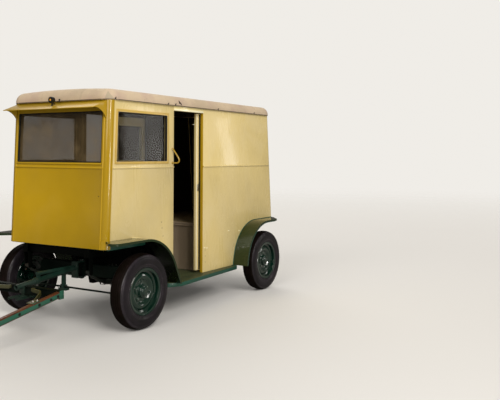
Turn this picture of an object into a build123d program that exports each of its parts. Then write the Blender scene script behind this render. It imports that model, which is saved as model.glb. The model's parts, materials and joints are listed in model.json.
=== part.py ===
from build123d import *
import os
from math import asin, atan, cos, degrees, radians, sin

# Horse-drawn milk wagon on four pneumatic tyres, in millimetres.
# X runs forward from the front axle, Y to the wagon's left and Z up from the ground.
# The shift at the end puts the origin under the middle of the whole wagon.

# Clearances: a running fit, and the gap kept between pieces that pass each other
running = 0.1
gap = 5
# a reach past the wagon's ends, for cuts that go right through
beyond = 6000

# Main sizes
wheelbase = 2305
half_width = 645
wall = 35
corner_r = 60
eave_z = 2143
roof_rise = 122
belt_z = 1513
platform_z = 800
well_z = 350
deck_z = 880
floor = 40
front_x_foot = 360
front_rake = 59
rear_overhang = 465
rear_rake = 120
door_front_x = -650
door_width = 530
glass = 5

# Wheels
tyre_r = 356
tyre_half = 80
rim_r = 203
rim_half = 66
flange_r = rim_r + 19
hub_z = tyre_r
wheel_y = half_width + 103
rear_axle_x = -wheelbase

# Body shell, taken from the main sizes
inner_y = half_width - wall
seam_y = half_width - corner_r
front_foot = (front_x_foot, platform_z - 30)
front_eave_x = front_x_foot - front_rake
rear_foot = (rear_axle_x - rear_overhang, deck_z - 38)
rear_eave_x = rear_foot[0] + rear_rake
door_x = (door_front_x - door_width, door_front_x)
door_top = eave_z - 48
riser_front_x = door_x[1] + 50
riser_rear_x = door_x[0] - 70

# Side window, with its raked front edge, and windscreen
window_z = (belt_z + 60, belt_z + 524)
window_rear_x = door_x[1] + 110
window_gap = 105
frame_width = 24
frame_proud = 5
screen_z = (belt_z + 49, belt_z + 527)
screen_y = half_width - 85

# Fenders and steps
arch_r = tyre_r + 134
fender_top = hub_z + arch_r
fender_y = wheel_y + tyre_half + 12
fender_skin = 5
fender_lip = 22
fender_corner = 62
fender_front_x = (front_foot[0] - 18, front_foot[0] + 77)
fender_rear_x = (rear_foot[0] + 45, rear_foot[0] + 240)
# turn of the arch, in degrees, before its straight tail
front_turn = 65
rear_turn = 80
step_nose_x = 35 - arch_r

# Chassis
rail_y = half_width - 240
rail_w = 60
rail_h = 80
rail_wall = 6
rail_front_z = platform_z - floor - rail_h / 2
rail_low_z = well_z - floor - rail_h / 2
rail_rear_z = deck_z - floor - rail_h / 2

# Steering and shafts
kingpin_y = wheel_y - 148
kingpin_r = 12
beam_z = (hub_z + 85, hub_z + 209)
arm_x = 240
arm_y = 30
rod_z = hub_z + 4
bar_x = 720
bar_z = 412
shaft_y = 450
shaft_tip_x = 2895


def block(x, y, z):
    """A block between two values on each axis."""
    size = [abs(b - a) for a, b in (x, y, z)]
    return Pos((x[0] + x[1]) / 2, (y[0] + y[1]) / 2, (z[0] + z[1]) / 2) * Box(*size)


def plate_y(face, y0, y1):
    """A face drawn in X and Z, made solid from y0 to y1."""
    return Pos(0, y1, 0) * extrude(Plane.XZ * face, y1 - y0)


def plate_x(face, x0, x1):
    """A face drawn in Y and Z, made solid from x0 to x1."""
    return Pos(x0, 0, 0) * extrude(Plane.YZ * face, x1 - x0)


def plate_z(face, z0, z1):
    """A face drawn in X and Y, made solid from z0 to z1."""
    return Pos(0, 0, z0) * extrude(face, z1 - z0)


def outline(*points):
    return make_face(Polyline(*points, close=True))


def rod_x(r, x0, x1, y, z):
    return Pos((x0 + x1) / 2, y, z) * Rot(0, 90, 0) * Cylinder(r, x1 - x0)


def rod_y(r, y0, y1, x, z):
    return Pos(x, (y0 + y1) / 2, z) * Rot(90, 0, 0) * Cylinder(r, abs(y1 - y0))


def rod_z_axis(r, z0, z1, x, y):
    return Pos(x, y, (z0 + z1) / 2) * Cylinder(r, z1 - z0)


def other_side(shape):
    return mirror(shape, Plane.XZ)


def front_x(z):
    """The raked front face."""
    return front_foot[0] - front_rake * (z - front_foot[1]) / (eave_z - front_foot[1])


def rear_x(z):
    """The raked rear face."""
    return rear_foot[0] + rear_rake * (z - rear_foot[1]) / (eave_z - rear_foot[1])


nodes = {}

# Body shell, split where its panels meet


def body_block(inset, y, radius, z0, z1):
    """The body's raked block, drawn in from its faces by inset."""
    side = outline(
        (front_x(z0) - inset, z0),
        (front_x(z1) - inset, z1),
        (rear_x(z1) + inset, z1),
        (rear_x(z0) + inset, z0),
    )
    solid = plate_y(side, -y, y)
    posts = [e for e in solid.edges() if abs(e.center().Y) > y - 1 and abs((e % 0.5).Z) > 0.9]
    return fillet(posts, radius)


room = body_block(wall, inner_y, corner_r - wall, well_z - 50, eave_z + 50)
shell = body_block(0, half_width, corner_r, well_z, eave_z) - room


def arch(turn, depth, y0, y1):
    """The space under a fender's curve, drawn in by depth: flat top, arc and straight tail."""
    top = fender_top - depth
    bend = CenterArc((0, fender_top - arch_r), arch_r - depth, 90, turn)
    end, way = bend @ 1, bend % 1
    foot = end + way * ((well_z - end.Y) / way.Y)
    lines = [
        Line((beyond, top), (0, top)),
        bend,
        Line(end, foot),
        Polyline(foot, (beyond, well_z), (beyond, top)),
    ]
    return plate_y(make_face(Curve() + lines), y0, y1)


def rear_arch(turn, depth, y0, y1):
    """The rear arch is the front one turned end for end about the rear axle."""
    return Pos(rear_axle_x, 0, 0) * mirror(arch(turn, depth, y0, y1), Plane.YZ)


def window_face(grow):
    """The side window's outline, wider all round by grow."""
    z0, z1 = window_z[0] - grow, window_z[1] + grow
    return outline(
        (front_x(z0) - window_gap + grow, z0),
        (front_x(z1) - window_gap + grow, z1),
        (window_rear_x - grow, z1),
        (window_rear_x - grow, z0),
    )


bead_r = 9
post_bead_r = 7
visor_foot_z = eave_z - 38
past_y = fender_y + 60
belt = rod_x(bead_r, -beyond, beyond, half_width, belt_z)
outside = block((-beyond, beyond), (half_width, past_y), (well_z, eave_z))
screen_hole = block((0, beyond), (-screen_y, screen_y), screen_z)
side_window = plate_y(window_face(0), inner_y - 50, past_y)
side_frame = plate_y(window_face(frame_width), half_width, half_width + frame_proud)

front_wall = shell & block((0, beyond), (-seam_y, seam_y), (front_foot[1], eave_z))
front_lean = degrees(asin(front_rake / (eave_z - front_foot[1])))
post_mid_z = (front_foot[1] + eave_z) / 2
for y in (-seam_y + bead_r, seam_y - bead_r):
    upright = Rot(0, -front_lean, 0) * Cylinder(post_bead_r, beyond)
    post_bead = Pos(front_x(post_mid_z), y, post_mid_z) * upright
    front_wall += post_bead & block((0, beyond), (-seam_y, seam_y), (front_foot[1], visor_foot_z))
front_wall += rod_y(bead_r, -seam_y, seam_y, front_x(belt_z), belt_z)
nodes["front_wall"] = front_wall - screen_hole

jamb = block((door_x[1], door_x[1] + 40), (inner_y - 35, inner_y), (well_z, door_top))
side_front = shell & block((door_x[1], beyond), (seam_y, past_y), (well_z, eave_z))
side_front += belt & outside & block((door_x[1], front_x(belt_z) - corner_r), (0, past_y), (0, eave_z))
side_front += side_frame + jamb
side_front -= arch(front_turn, 0, seam_y - 50, past_y) + side_window
nodes["side_front_left"] = side_front

side_rear = shell & block((-beyond, door_x[0]), (seam_y, past_y), (well_z, eave_z))
side_rear += belt & outside & block((rear_x(belt_z) + corner_r, door_x[0]), (0, past_y), (0, eave_z))
side_rear -= rear_arch(rear_turn, 0, seam_y - 50, past_y)
nodes["side_rear_left"] = side_rear

# rear frame round the two doors
rear_post = 40
rear_open_z = (deck_z - 18, eave_z - 85)
rear_open_y = seam_y - rear_post
rear_end = block((-beyond, rear_axle_x), (-seam_y, seam_y), (rear_foot[1], eave_z))
rear_opening = block((-beyond, rear_axle_x), (-rear_open_y, rear_open_y), rear_open_z)
nodes["rear_frame"] = (shell & rear_end) - rear_opening

# Sliding side doors and the channels that carry their rollers
leaf_y = (inner_y - 35, inner_y - 7)
leaf_x = (door_x[0] - 490, door_x[0] + 70)
leaf_z = (well_z + 30, door_top - 7)
door_slide = door_x[1] - gap - leaf_x[1]
track_x = (leaf_x[0] - 30, door_x[1] + 20)
track_y = (inner_y - 40, inner_y)
track_z = (door_top + 5, door_top + 39)
track_wall = 6
track_mid = inner_y - 20
slot_half = 7
roller_r = 9
lip_z = track_z[0] + track_wall
header = block(door_x, (inner_y, half_width), (door_top, eave_z))
header += block(track_x, track_y, track_z)
track_room_y = (track_y[0] + track_wall, track_y[1] - track_wall)
slot_y = (track_mid - slot_half, track_mid + slot_half)
header -= block(track_x, track_room_y, (lip_z, track_z[1] - track_wall))
nodes["door_headers"] = header - block(track_x, slot_y, (well_z, lip_z + 1))

stile = 70
pane_z = (window_z[0], window_z[1] - 52)
pane_x = (leaf_x[0] + stile, leaf_x[1] - stile)
pane_y = leaf_y[0] + 12
leaf = block(leaf_x, leaf_y, leaf_z) - block(pane_x, (0, past_y), pane_z)
leaf += Pos(leaf_x[1] - 28, leaf_y[0], belt_z - 227) * Box(26, 14, 90)
roller_half = slot_half + gap
neck_half = slot_half - 3
for x in (leaf_x[0] + stile + 10, leaf_x[1] - stile - 10):
    leaf += rod_y(roller_r, track_mid - roller_half, track_mid + roller_half, x, lip_z + running + roller_r)
    neck_y = (track_mid - neck_half, track_mid + neck_half)
    leaf += block((x - 15, x + 15), neck_y, (leaf_z[1], lip_z + roller_r))
nodes["door_left"] = leaf
nodes["door_glass_left"] = block(pane_x, (pane_y, pane_y + glass), pane_z)

# glass of the windscreen and of the two side windows
screen_depth = 22
screen = outline(
    *[(front_x(z) - screen_depth + side * glass / 2, z) for z, side in
      ((screen_z[0], -1), (screen_z[0], 1), (screen_z[1], 1), (screen_z[1], -1))]
)
nodes["windscreen_glass"] = plate_y(screen, -screen_y, screen_y)
nodes["side_glass"] = plate_y(window_face(0), inner_y + 8, inner_y + 8 + glass)

# Roof and visor
roof_y = half_width + 17
roof_front_x = front_eave_x + 21
roof_rear_x = rear_eave_x - 30
roof_edge_r = 0.74 * roof_rise
roof_corner_r = 0.98 * roof_rise
crown_drop = 0.18 * roof_rise
roof_skin = 20


def roof_block(inset):
    """The roof's crowned block, with every upper edge rounded, drawn in by inset."""
    y, x0, x1 = roof_y - inset, roof_rear_x + inset, roof_front_x - inset
    top, r = eave_z + roof_rise - inset, roof_edge_r - inset
    side_z = top - crown_drop
    across = make_face(Curve() + [
        Line((-y, eave_z), (-y, side_z)),
        ThreePointArc((-y, side_z), (0, top), (y, side_z)),
        Polyline((y, side_z), (y, eave_z), (-y, eave_z)),
    ])
    solid = plate_x(across, x0, x1)
    posts = solid.edges().filter_by(Axis.Z)
    solid = fillet(posts, roof_corner_r - inset)
    rim = [e for e in solid.edges() if e.bounding_box().min.Z > eave_z + 1]
    return fillet(rim, r)


nodes["roof"] = roof_block(0) - Pos(0, 0, -0.01) * roof_block(roof_skin)

visor_y = half_width - 50
visor_edge = (front_eave_x + 174, eave_z - 76)
visor_sheet = 6
visor_root = (front_x(eave_z - 18), eave_z - 9)
gusset_mid_z = eave_z - 103
gusset_foot_z = eave_z - 171
gusset_foot = (front_x(gusset_foot_z), gusset_foot_z)
gusset_mid = (front_x(gusset_mid_z) + 62, gusset_mid_z)
gusset = make_face(Curve() + [
    Line(visor_root, visor_edge),
    ThreePointArc(visor_edge, gusset_mid, gusset_foot),
    Line(gusset_foot, visor_root),
])
blade = outline(
    visor_root,
    visor_edge,
    (visor_edge[0], visor_edge[1] - visor_sheet),
    (front_x(visor_root[1] - visor_sheet), visor_root[1] - visor_sheet),
)
visor = plate_y(blade, -visor_y, visor_y)
for y in (-visor_y, visor_y - visor_sheet):
    visor += plate_y(gusset, y, y + visor_sheet)
behind_front = outline((0, front_foot[1]), front_foot, (front_eave_x, eave_z), (0, eave_z))
nodes["visor"] = visor - plate_y(behind_front, -past_y, past_y)

lamp_x = front_eave_x + 84
lamp_z = eave_z + 9
lamp_r = 28
visor_fall = (visor_root[1] - visor_edge[1]) / (visor_edge[0] - visor_root[0])
lamp = rod_x(lamp_r, lamp_x, lamp_x + 30, 0, lamp_z) + rod_x(lamp_r - 6, lamp_x + 30, lamp_x + 37, 0, lamp_z)
lamp += rod_z_axis(7, visor_root[1] - visor_fall * (lamp_x + 15 - visor_root[0]), lamp_z - 20, lamp_x + 15, 0)
under_blade = plate_y(
    outline(visor_root, visor_edge, (visor_edge[0], belt_z), (visor_root[0], belt_z)), -visor_y, visor_y
)
nodes["marker_lamp"] = lamp - under_blade

# Floors
sill_x = (riser_front_x + 400, front_x(platform_z) - wall)
sill = block(sill_x, (inner_y, half_width), (platform_z - floor, deck_z))
sill &= arch(front_turn, fender_skin, inner_y - 50, past_y)
front_floor = block(
    (riser_front_x, front_x(platform_z) - wall), (-inner_y, inner_y), (platform_z - floor, platform_z)
)
front_floor += block((riser_front_x, riser_front_x + 20), (-inner_y, inner_y), (well_z, platform_z))
nodes["front_floor"] = (front_floor & room) + sill + other_side(sill)

nodes["well_floor"] = block((riser_rear_x, riser_front_x + 20), (-inner_y, inner_y), (well_z - floor, well_z))

deck_edge = leaf_y[0] - gap
rear_deck = block((riser_rear_x - 20, riser_rear_x), (-deck_edge, deck_edge), (well_z, deck_z))
rear_deck += block((track_x[0] - 20, riser_rear_x + 15), (-deck_edge, deck_edge), (deck_z - floor, deck_z))
rear_deck += block((-beyond, track_x[0] - 20), (-inner_y, inner_y), (deck_z - floor, deck_z)) & room
nodes["rear_deck"] = rear_deck


# Fenders and steps
def fender(tail, free, arch_of, turn):
    """A fender skin from its tail to its free end, swept back to the body, with a lip round its outer edge."""
    ahead = 1 if free[1][0] > tail else -1

    def plan(inset, inner):
        """Plan outline, drawn in by inset everywhere but at the tail, its outer bends round."""
        foot = tail - ahead * inset
        y = inner - inset
        face = outline((foot, y), (free[0][0], y), *free, (foot, fender_y))
        bends = [v for v in face.vertices() if v.Y > half_width + 20 and abs(v.X - foot) > 1]
        face = fillet(bends, fender_corner)
        return plate_z(offset(face, -inset) if inset else face, 0, eave_z)

    band = arch_of(turn, 0, 0, past_y) - arch_of(turn, fender_lip, -1, past_y + 1)
    hollow = arch_of(turn, fender_skin, -1, past_y + 1)
    return (band & plan(0, inner_y)) - (hollow & plan(fender_skin, inner_y - 50))


front_free = (
    (fender_front_x[0], half_width),
    (fender_front_x[1], half_width + 100),
    (fender_front_x[1], fender_y),
)
rear_free = (
    (fender_rear_x[0], half_width),
    (fender_rear_x[0], half_width + 30),
    (fender_rear_x[1], fender_y),
)
nodes["fenders_front"] = fender(-arch_r - 70, front_free, arch, front_turn)
nodes["fenders_rear"] = fender(rear_axle_x + arch_r + 25, rear_free, rear_arch, rear_turn)

step_rear_x = rear_axle_x + arch_r + 30
step = outline(
    (step_nose_x, inner_y),
    (step_nose_x, half_width + 55),
    (step_nose_x - 22, half_width + 90),
    (step_nose_x - 135, half_width + 155),
    (step_rear_x, half_width + 71),
    (step_rear_x, inner_y),
)
nodes["steps"] = plate_z(step, well_z - floor, well_z)

# Rear doors, hung on the raked rear posts
leaf_gap = 8


def rear_slab(out, thick, y, z):
    """A slab parallel to the rear face, whose outer face stands out by out."""
    face = outline(
        (rear_x(z[0]) - out, z[0]),
        (rear_x(z[1]) - out, z[1]),
        (rear_x(z[1]) - out + thick, z[1]),
        (rear_x(z[0]) - out + thick, z[0]),
    )
    return plate_y(face, *y)


rear_leaf_z = (rear_open_z[0] + leaf_gap, rear_open_z[1] - leaf_gap)
rear_door = rear_slab(0, wall, (gap / 2, rear_open_y - gap), rear_leaf_z)
hinge_out = 9
hinge_y = rear_open_y + 2
rear_lean = degrees(asin(rear_rake / (eave_z - rear_foot[1])))
hinge_rows = (deck_z + 130, belt_z - 33, eave_z - 213)
for z in hinge_rows:
    barrel = Pos(rear_x(z) - hinge_out, hinge_y, z) * Rot(0, rear_lean, 0) * Cylinder(8, 90)
    strap = rear_slab(5, 5, (hinge_y - 190, hinge_y - 4), (z - 22, z + 22))
    rear_door += barrel + strap
nodes["rear_door_left"] = rear_door
handle_z = belt_z - 213
rear_door_right = other_side(rear_door)
rear_door_right += rear_slab(34, 12, (-130, -30), (handle_z, handle_z + 22))
rear_door_right += rear_slab(34, 34, (-60, -44), (handle_z + 3, handle_z + 19))
nodes["rear_door_right"] = rear_door_right

# Grab handles on the front door posts
grip_r = 7.5
grip_x = door_x[1] + 22
grip_z = (belt_z + 43, belt_z + 185)
grip_top, grip_elbow = (half_width, grip_z[1]), (half_width + 83, grip_z[0] + 36)
grip_path = Plane.YZ * FilletPolyline(
    grip_top, grip_elbow, (half_width + 55, grip_z[0]), (half_width, grip_z[0]), radius=16
)
grip_start = Plane((0, *grip_top), z_dir=(0, grip_elbow[0] - grip_top[0], grip_elbow[1] - grip_top[1]))
grip = sweep(Pos(grip_x, 0, 0) * (grip_start * Circle(grip_r)), Pos(grip_x, 0, 0) * grip_path)
grip -= block((grip_x - 50, grip_x + 50), (0, half_width), (belt_z, eave_z))
for z in grip_z:
    grip += rod_y(14, half_width, half_width + 5, grip_x, z)
nodes["grab_handles"] = grip

# Chassis rails: channels that open inwards and drop between the axles
rail_outer = rail_y + rail_w / 2
rail_inner = rail_y - rail_w / 2
rail_kink_x = (riser_front_x + 150, riser_front_x + 40, rear_axle_x + 590, rear_axle_x + 455)
rail_end_x = (front_foot[0] - 4, rear_foot[0] + 50)


def rail_face(inset):
    """Side view of a rail, drawn in by inset."""
    centre = (
        (rail_end_x[0], rail_front_z),
        (rail_kink_x[0], rail_front_z),
        (rail_kink_x[1], rail_low_z),
        (rail_kink_x[2], rail_low_z),
        (rail_kink_x[3], rail_rear_z),
        (rail_end_x[1], rail_rear_z),
    )
    half = rail_h / 2
    upper = [(x, z + half) for x, z in centre]
    lower = [(x, z - half) for x, z in centre]
    face = outline(*upper, *reversed(lower))
    return offset(face, -inset) if inset else face


rail = plate_y(rail_face(0), rail_inner, rail_outer)
rail -= plate_y(rail_face(rail_wall), rail_inner - 1, rail_outer - rail_wall)

# Leaf springs, slung under the front axle and over the rear one
leaves = (320, 265, 210, 155, 100)
leaf_t = 8
spring_w = 50
camber = 100
eye_r = 18
pin_r = 8
pack_h = leaf_t * len(leaves)
axle_top = hub_z + 36
spring_half = leaves[0]
bow = (spring_half ** 2 + camber ** 2) / (2 * camber)
eye_rise = pack_h + camber + eye_r - leaf_t
clip_half = spring_w / 2 + 3


def leaf_spring(axle_x, foot_z, clip_z):
    """A pack of leaves, longest on top, with its two eyes and the clip plate that holds it."""
    face = None
    for row, half in enumerate(leaves):
        inner, outer = bow + row * leaf_t, bow + (row + 1) * leaf_t
        turn = degrees(asin(half / bow))
        upper = CenterArc((0, foot_z + pack_h + bow), inner, 270 - turn, 2 * turn)
        lower = CenterArc((0, foot_z + pack_h + bow), outer, 270 - turn, 2 * turn)
        leaf_face = make_face(Curve() + [upper, lower, Line(upper @ 0, lower @ 0), Line(upper @ 1, lower @ 1)])
        face = leaf_face if face is None else face + leaf_face
    spring = plate_y(face, rail_y - spring_w / 2, rail_y + spring_w / 2)
    spring += block((-45, 45), (rail_y - clip_half, rail_y + clip_half), clip_z)
    for x in (-spring_half, spring_half):
        spring += rod_y(eye_r, rail_y - spring_w / 2, rail_y + spring_w / 2, x, foot_z + eye_rise)
    for x in (-spring_half, spring_half):
        spring -= rod_y(pin_r, 0, past_y, x, foot_z + eye_rise)
    return Pos(axle_x, 0, 0) * spring


spring_seat = 8
front_pack_z = beam_z[0] - spring_seat - pack_h
nodes["leaf_springs"] = [
    leaf_spring(0, front_pack_z, (front_pack_z + pack_h - 4, beam_z[0])),
    leaf_spring(rear_axle_x, axle_top, (axle_top + pack_h - 4, axle_top + pack_h + 12)),
]

# hangers under the rails: axle, height of the spring's eyes, height of the rail
cheek_t = 5
hangers = ((0, front_pack_z + eye_rise, rail_front_z), (rear_axle_x, axle_top + eye_rise, rail_rear_z))
for axle_x, eye_z, rail_z in hangers:
    for end in (1, -1):
        x = axle_x + end * spring_half
        cheek = outline(
            (x - 20, eye_z), (x - 20, eye_z - 12), (x - 8, eye_z - 22), (x + 8, eye_z - 22), (x + 20, eye_z - 12),
            (x + 20, eye_z), (x + 28, rail_z - rail_h / 2), (x - 28, rail_z - rail_h / 2),
        )
        for y in (rail_y - spring_w / 2 - cheek_t, rail_y + spring_w / 2):
            rail += plate_y(cheek, y, y + cheek_t)
        pin_end = spring_w / 2 + cheek_t + 4
        rail += rod_y(pin_r, rail_y - pin_end, rail_y + pin_end, x, eye_z)
nodes["chassis_rails"] = [rail, other_side(rail)]

# cross members, seated in the channels: middle x, middle z, width
cross_members = (
    (front_foot[0] - 60, rail_front_z, 60),
    (rail_kink_x[0] + 35, rail_front_z, 60),
    (door_x[1] - 70, rail_low_z, 50),
    (door_x[0] + 20, rail_low_z, 50),
    (rail_kink_x[2] + 115, rail_low_z, 50),
    (rail_kink_x[3] - 50, rail_rear_z, 60),
    (rear_foot[0] + 90, rail_rear_z, 60),
)
web_y = rail_outer - rail_wall
member_half = rail_h / 2 - rail_wall
members = [
    block((x - w / 2, x + w / 2), (-web_y, web_y), (z - member_half, z + member_half)) for x, z, w in cross_members
]
# outriggers under the steps: middle x, reach
outriggers = ((cross_members[2][0], half_width + 45), (cross_members[3][0], half_width + 30),
              (cross_members[4][0], half_width + 5))
outrigger_top = well_z - floor
for x, reach in outriggers:
    gusset = outline(
        (rail_outer, outrigger_top), (reach, outrigger_top), (reach, outrigger_top - 20),
        (rail_outer, outrigger_top - rail_h + 5),
    )
    arm = plate_x(gusset, x - 25, x + 25)
    members += [arm, other_side(arm)]
nodes["chassis_crossmembers"] = members

# Front axle: a deep box beam, cranked down at each end to the kingpin's boss
boss_r = 27
boss_h = 100
boss_z = (hub_z - boss_h / 2, hub_z + boss_h / 2)
beam_half = 35
neck_half_x = 20
shoulder_y = kingpin_y - 80
beam = block((-beam_half, beam_half), (-shoulder_y, shoulder_y), beam_z)
beam = fillet(beam.edges().filter_by(Axis.Y), 10)
neck = outline(
    (shoulder_y - 90, beam_z[1] - 12),
    (shoulder_y, beam_z[1] - 12),
    (kingpin_y - 40, beam_z[1] - 45),
    (kingpin_y - 32, boss_z[1] - 6),
    (kingpin_y, boss_z[1] - 18),
    (kingpin_y, boss_z[0] + 12),
    (kingpin_y - 40, boss_z[0] + 12),
    (kingpin_y - 100, boss_z[1] - 6),
    (shoulder_y - 65, beam_z[0] + 8),
    (shoulder_y - 90, beam_z[0] + 8),
)
neck = plate_x(neck, -neck_half_x, neck_half_x) + rod_z_axis(boss_r, *boss_z, 0, kingpin_y)
pivot_r = 18
axle = beam + neck + other_side(neck)
for y in (-kingpin_y, kingpin_y):
    axle -= rod_z_axis(kingpin_r + running, *(boss_z[0] - 1, boss_z[1] + 1), 0, y)
nodes["axle_front"] = axle - rod_z_axis(pivot_r + running, beam_z[0] - 1, beam_z[1] + 1, 0, 0)

# Rear axle: a tube with a spindle and a backing plate at each end
spindle_r = 20
tube_end_y = kingpin_y + 50
wheel_out = wheel_y + 30
plate_r = rim_r - 71
axle = rod_y(30, -tube_end_y, tube_end_y, rear_axle_x, hub_z)
for side in (-1, 1):
    axle += rod_y(spindle_r, side * (tube_end_y - 10), side * wheel_out, rear_axle_x, hub_z)
    axle += rod_y(plate_r, side * (tube_end_y - 8), side * tube_end_y, rear_axle_x, hub_z)
    seat_y = (side * rail_y - clip_half, side * rail_y + clip_half)
    axle += block((rear_axle_x - 40, rear_axle_x + 40), seat_y, (hub_z, axle_top))
nodes["axle_rear"] = axle

# Wheels, drawn about their own centre and turned about Y
# tyre section beside its axis: distance from the wheel's middle, radius
wall_r = rim_r + 0.536 * (tyre_r - rim_r)
tread = (0.7 * tyre_half, tyre_r - 11)
inner_tread = (0.625 * tyre_half, tyre_r - 24)
bead = (rim_half - 4, rim_r)
bead_top = (bead[0], flange_r + 1)
side = (tyre_half, wall_r)
inner_bead = (rim_half - 20, rim_r)
inner_side = (tyre_half - 14, wall_r)


def mirrored(point):
    return (-point[0], point[1])


tyre_section = make_face(Curve() + [
    Line(bead, bead_top),
    ThreePointArc(bead_top, side, tread),
    ThreePointArc(tread, (0, tyre_r), mirrored(tread)),
    ThreePointArc(mirrored(tread), mirrored(side), mirrored(bead_top)),
    Line(mirrored(bead_top), mirrored(bead)),
    Line(mirrored(bead), mirrored(inner_bead)),
    ThreePointArc(mirrored(inner_bead), mirrored(inner_side), mirrored(inner_tread)),
    Line(mirrored(inner_tread), inner_tread),
    ThreePointArc(inner_tread, inner_side, inner_bead),
    Line(inner_bead, bead),
])
tyre = revolve(Plane.YZ * tyre_section, Axis.Y)

# steel rim, half its section: distance from the wheel's middle, depth below the tyre's seat
rim_sheet = 4
rim_points = (
    (24, 18), (32, 0), (bead[0], 0), (bead[0], rim_r - flange_r), (rim_half, rim_r - flange_r),
    (rim_half, rim_sheet), (30, rim_sheet + 2), (22, 24),
)
half_rim = [(y, rim_r - deep) for y, deep in rim_points]
well_side = [mirrored(point) for point in reversed(half_rim)]
rim = revolve(Plane.YZ * outline(*half_rim, *well_side), Axis.Y)
# wheel disc, outer face first: distance from the wheel's middle, share of the rim's radius
disc_points = (
    (14, 0.882), (34, 0.813), (40, 0.69), (34, 0.581), (14, 0.512), (14, 0.305), (30, 0.266), (46, 0.246), (50, 0),
    (-30, 0), (-30, 0.236), (6, 0.236), (6, 0.532), (26, 0.601), (32, 0.69), (26, 0.798), (6, 0.882),
)
disc = revolve(Plane.YZ * outline(*[(y, rim_r * share) for y, share in disc_points]), Axis.Y)
lugs = 5
lug_circle = 0.41 * rim_r
wheel = rim + disc
for turn in range(lugs):
    stud = Rot(0, 360 * turn / lugs + 90, 0) * Pos(lug_circle, 18, 0) * Rot(90, 0, 0)
    wheel += stud * extrude(RegularPolygon(12, 6), 8, both=True)
# brake drum, closed by the backing plate, and hub: reach from the wheel's middle
drum_y = (tube_end_y + gap - wheel_y, 6)
drum_r = plate_r - 4
drum = rod_y(drum_r, *drum_y, 0, 0) - rod_y(drum_r - 10, drum_y[0] - 1, drum_y[1] - 26, 0, 0)
hub = rod_y(34, -80, -20, 0, 0)
bore = rod_y(spindle_r + running, -100, wheel_out - wheel_y + 2, 0, 0)
wheels = {"front": (0, wheel + hub - bore), "rear": (rear_axle_x, wheel + hub + drum - bore)}
for end, (x, body) in wheels.items():
    nodes[f"tyre_{end}_left"] = Pos(x, wheel_y, hub_z) * tyre
    nodes[f"wheel_{end}_left"] = Pos(x, wheel_y, hub_z) * body

# Steering: knuckles and tie rods
ear = 28
ear_gap = 4
arm_t = 22
eye_h = 20
ear_out = ear_gap + ear
knuckle_z = (boss_z[0] - ear_out, boss_z[1] + ear_out)
arm_z = (rod_z - eye_h / 2 - 1 - arm_t, rod_z - eye_h / 2 - 1)
knuckle = rod_z_axis(kingpin_r, knuckle_z[0] - 10, knuckle_z[1] + 10, 0, kingpin_y)
for z in (knuckle_z[0], knuckle_z[1] - ear):
    knuckle += rod_z_axis(boss_r, z, z + ear, 0, kingpin_y)
    knuckle += block((-24, 24), (kingpin_y, kingpin_y + 50), (z, z + ear))
knuckle += block((-30, 30), (kingpin_y + 34, kingpin_y + 52), knuckle_z)
knuckle += rod_y(spindle_r, kingpin_y + 50, wheel_out, 0, hub_z)
arm = outline(
    (-20, kingpin_y + 52), (30, kingpin_y + 52), (arm_x, kingpin_y + arm_y + 18), (arm_x, kingpin_y + arm_y - 18),
    (60, kingpin_y + 12), (32, kingpin_y + 34), (-20, kingpin_y + 34),
)
knuckle += plate_z(arm, *arm_z) + rod_z_axis(18, *arm_z, arm_x, kingpin_y + arm_y)
pin_top = rod_z + eye_h / 2 + 12
nut_z = (rod_z + eye_h / 2 + 1, pin_top)
knuckle += rod_z_axis(pin_r, arm_z[0], pin_top, arm_x, kingpin_y + arm_y)
knuckle += rod_z_axis(12, *nut_z, arm_x, kingpin_y + arm_y)
nodes["knuckle_left"] = knuckle

tie_rod = rod_y(9, arm_y, kingpin_y + arm_y, arm_x, rod_z)
for y in (arm_y, kingpin_y + arm_y):
    tie_rod += rod_z_axis(17, rod_z - eye_h / 2, rod_z + eye_h / 2, arm_x, y)
for y in (arm_y, kingpin_y + arm_y):
    tie_rod -= rod_z_axis(pin_r + running, rod_z - eye_h, rod_z + eye_h, arm_x, y)
nodes["tie_rod_left"] = tie_rod

# Drawbar: a tube on a fork that swings about a pin through the beam
tube_r = 26
tube_wall = 5
tube_ends = ((0, beam_z[1] - 34), (bar_x + 95, bar_z + 28))
tube_fall = degrees(asin((tube_ends[0][1] - tube_ends[1][1]) / (tube_ends[1][0] - tube_ends[0][0])))


def tube_z(x):
    """Height of the drawbar tube's axis."""
    (x0, z0), (x1, z1) = tube_ends
    return z0 + (z1 - z0) * (x - x0) / (x1 - x0)


def on_tube(r, x0, x1):
    """A round bar along the drawbar tube."""
    length = (x1 - x0) / cos(radians(tube_fall))
    middle = (x0 + x1) / 2
    return Pos(middle, 0, tube_z(middle)) * Rot(0, 90 + tube_fall, 0) * Cylinder(r, length)


head_r = 44
fork_t = 14
fork_x = (85, 99)
fork_y = (-40, 40)
fork_z = (beam_z[0] - gap - fork_t, beam_z[1] + gap + fork_t)
brace_bar_z = beam_z[1] - 33
collar_x = (bar_x - 160, bar_x - 114)
ear_x = (bar_x - 154, bar_x - 120)
web_x = (arm_x - 25, arm_x + 25)
eye_half = 30
eye_x = (bar_x - eye_half, bar_x + eye_half)
drawbar = on_tube(tube_r, fork_x[0] + 8, tube_ends[1][0]) + block(fork_x, fork_y, fork_z)
for z in (fork_z[0], fork_z[1] - fork_t):
    drawbar += rod_z_axis(head_r, z, z + fork_t, 0, 0) + block((0, fork_x[1]), fork_y, (z, z + fork_t))
drawbar += block(web_x, (-6, 6), (arm_z[1] - 2, tube_z(arm_x)))
drawbar += block(web_x, (-arm_y - 20, arm_y + 20), arm_z)
drawbar += on_tube(tube_r + 8, *collar_x)
drawbar += block(ear_x, (-12, 12), (tube_z(ear_x[1]) - tube_r - 26, tube_z(ear_x[0])))
drawbar += rod_x(18, fork_x[1] - 4, collar_x[0] + 15, 0, brace_bar_z)
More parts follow.
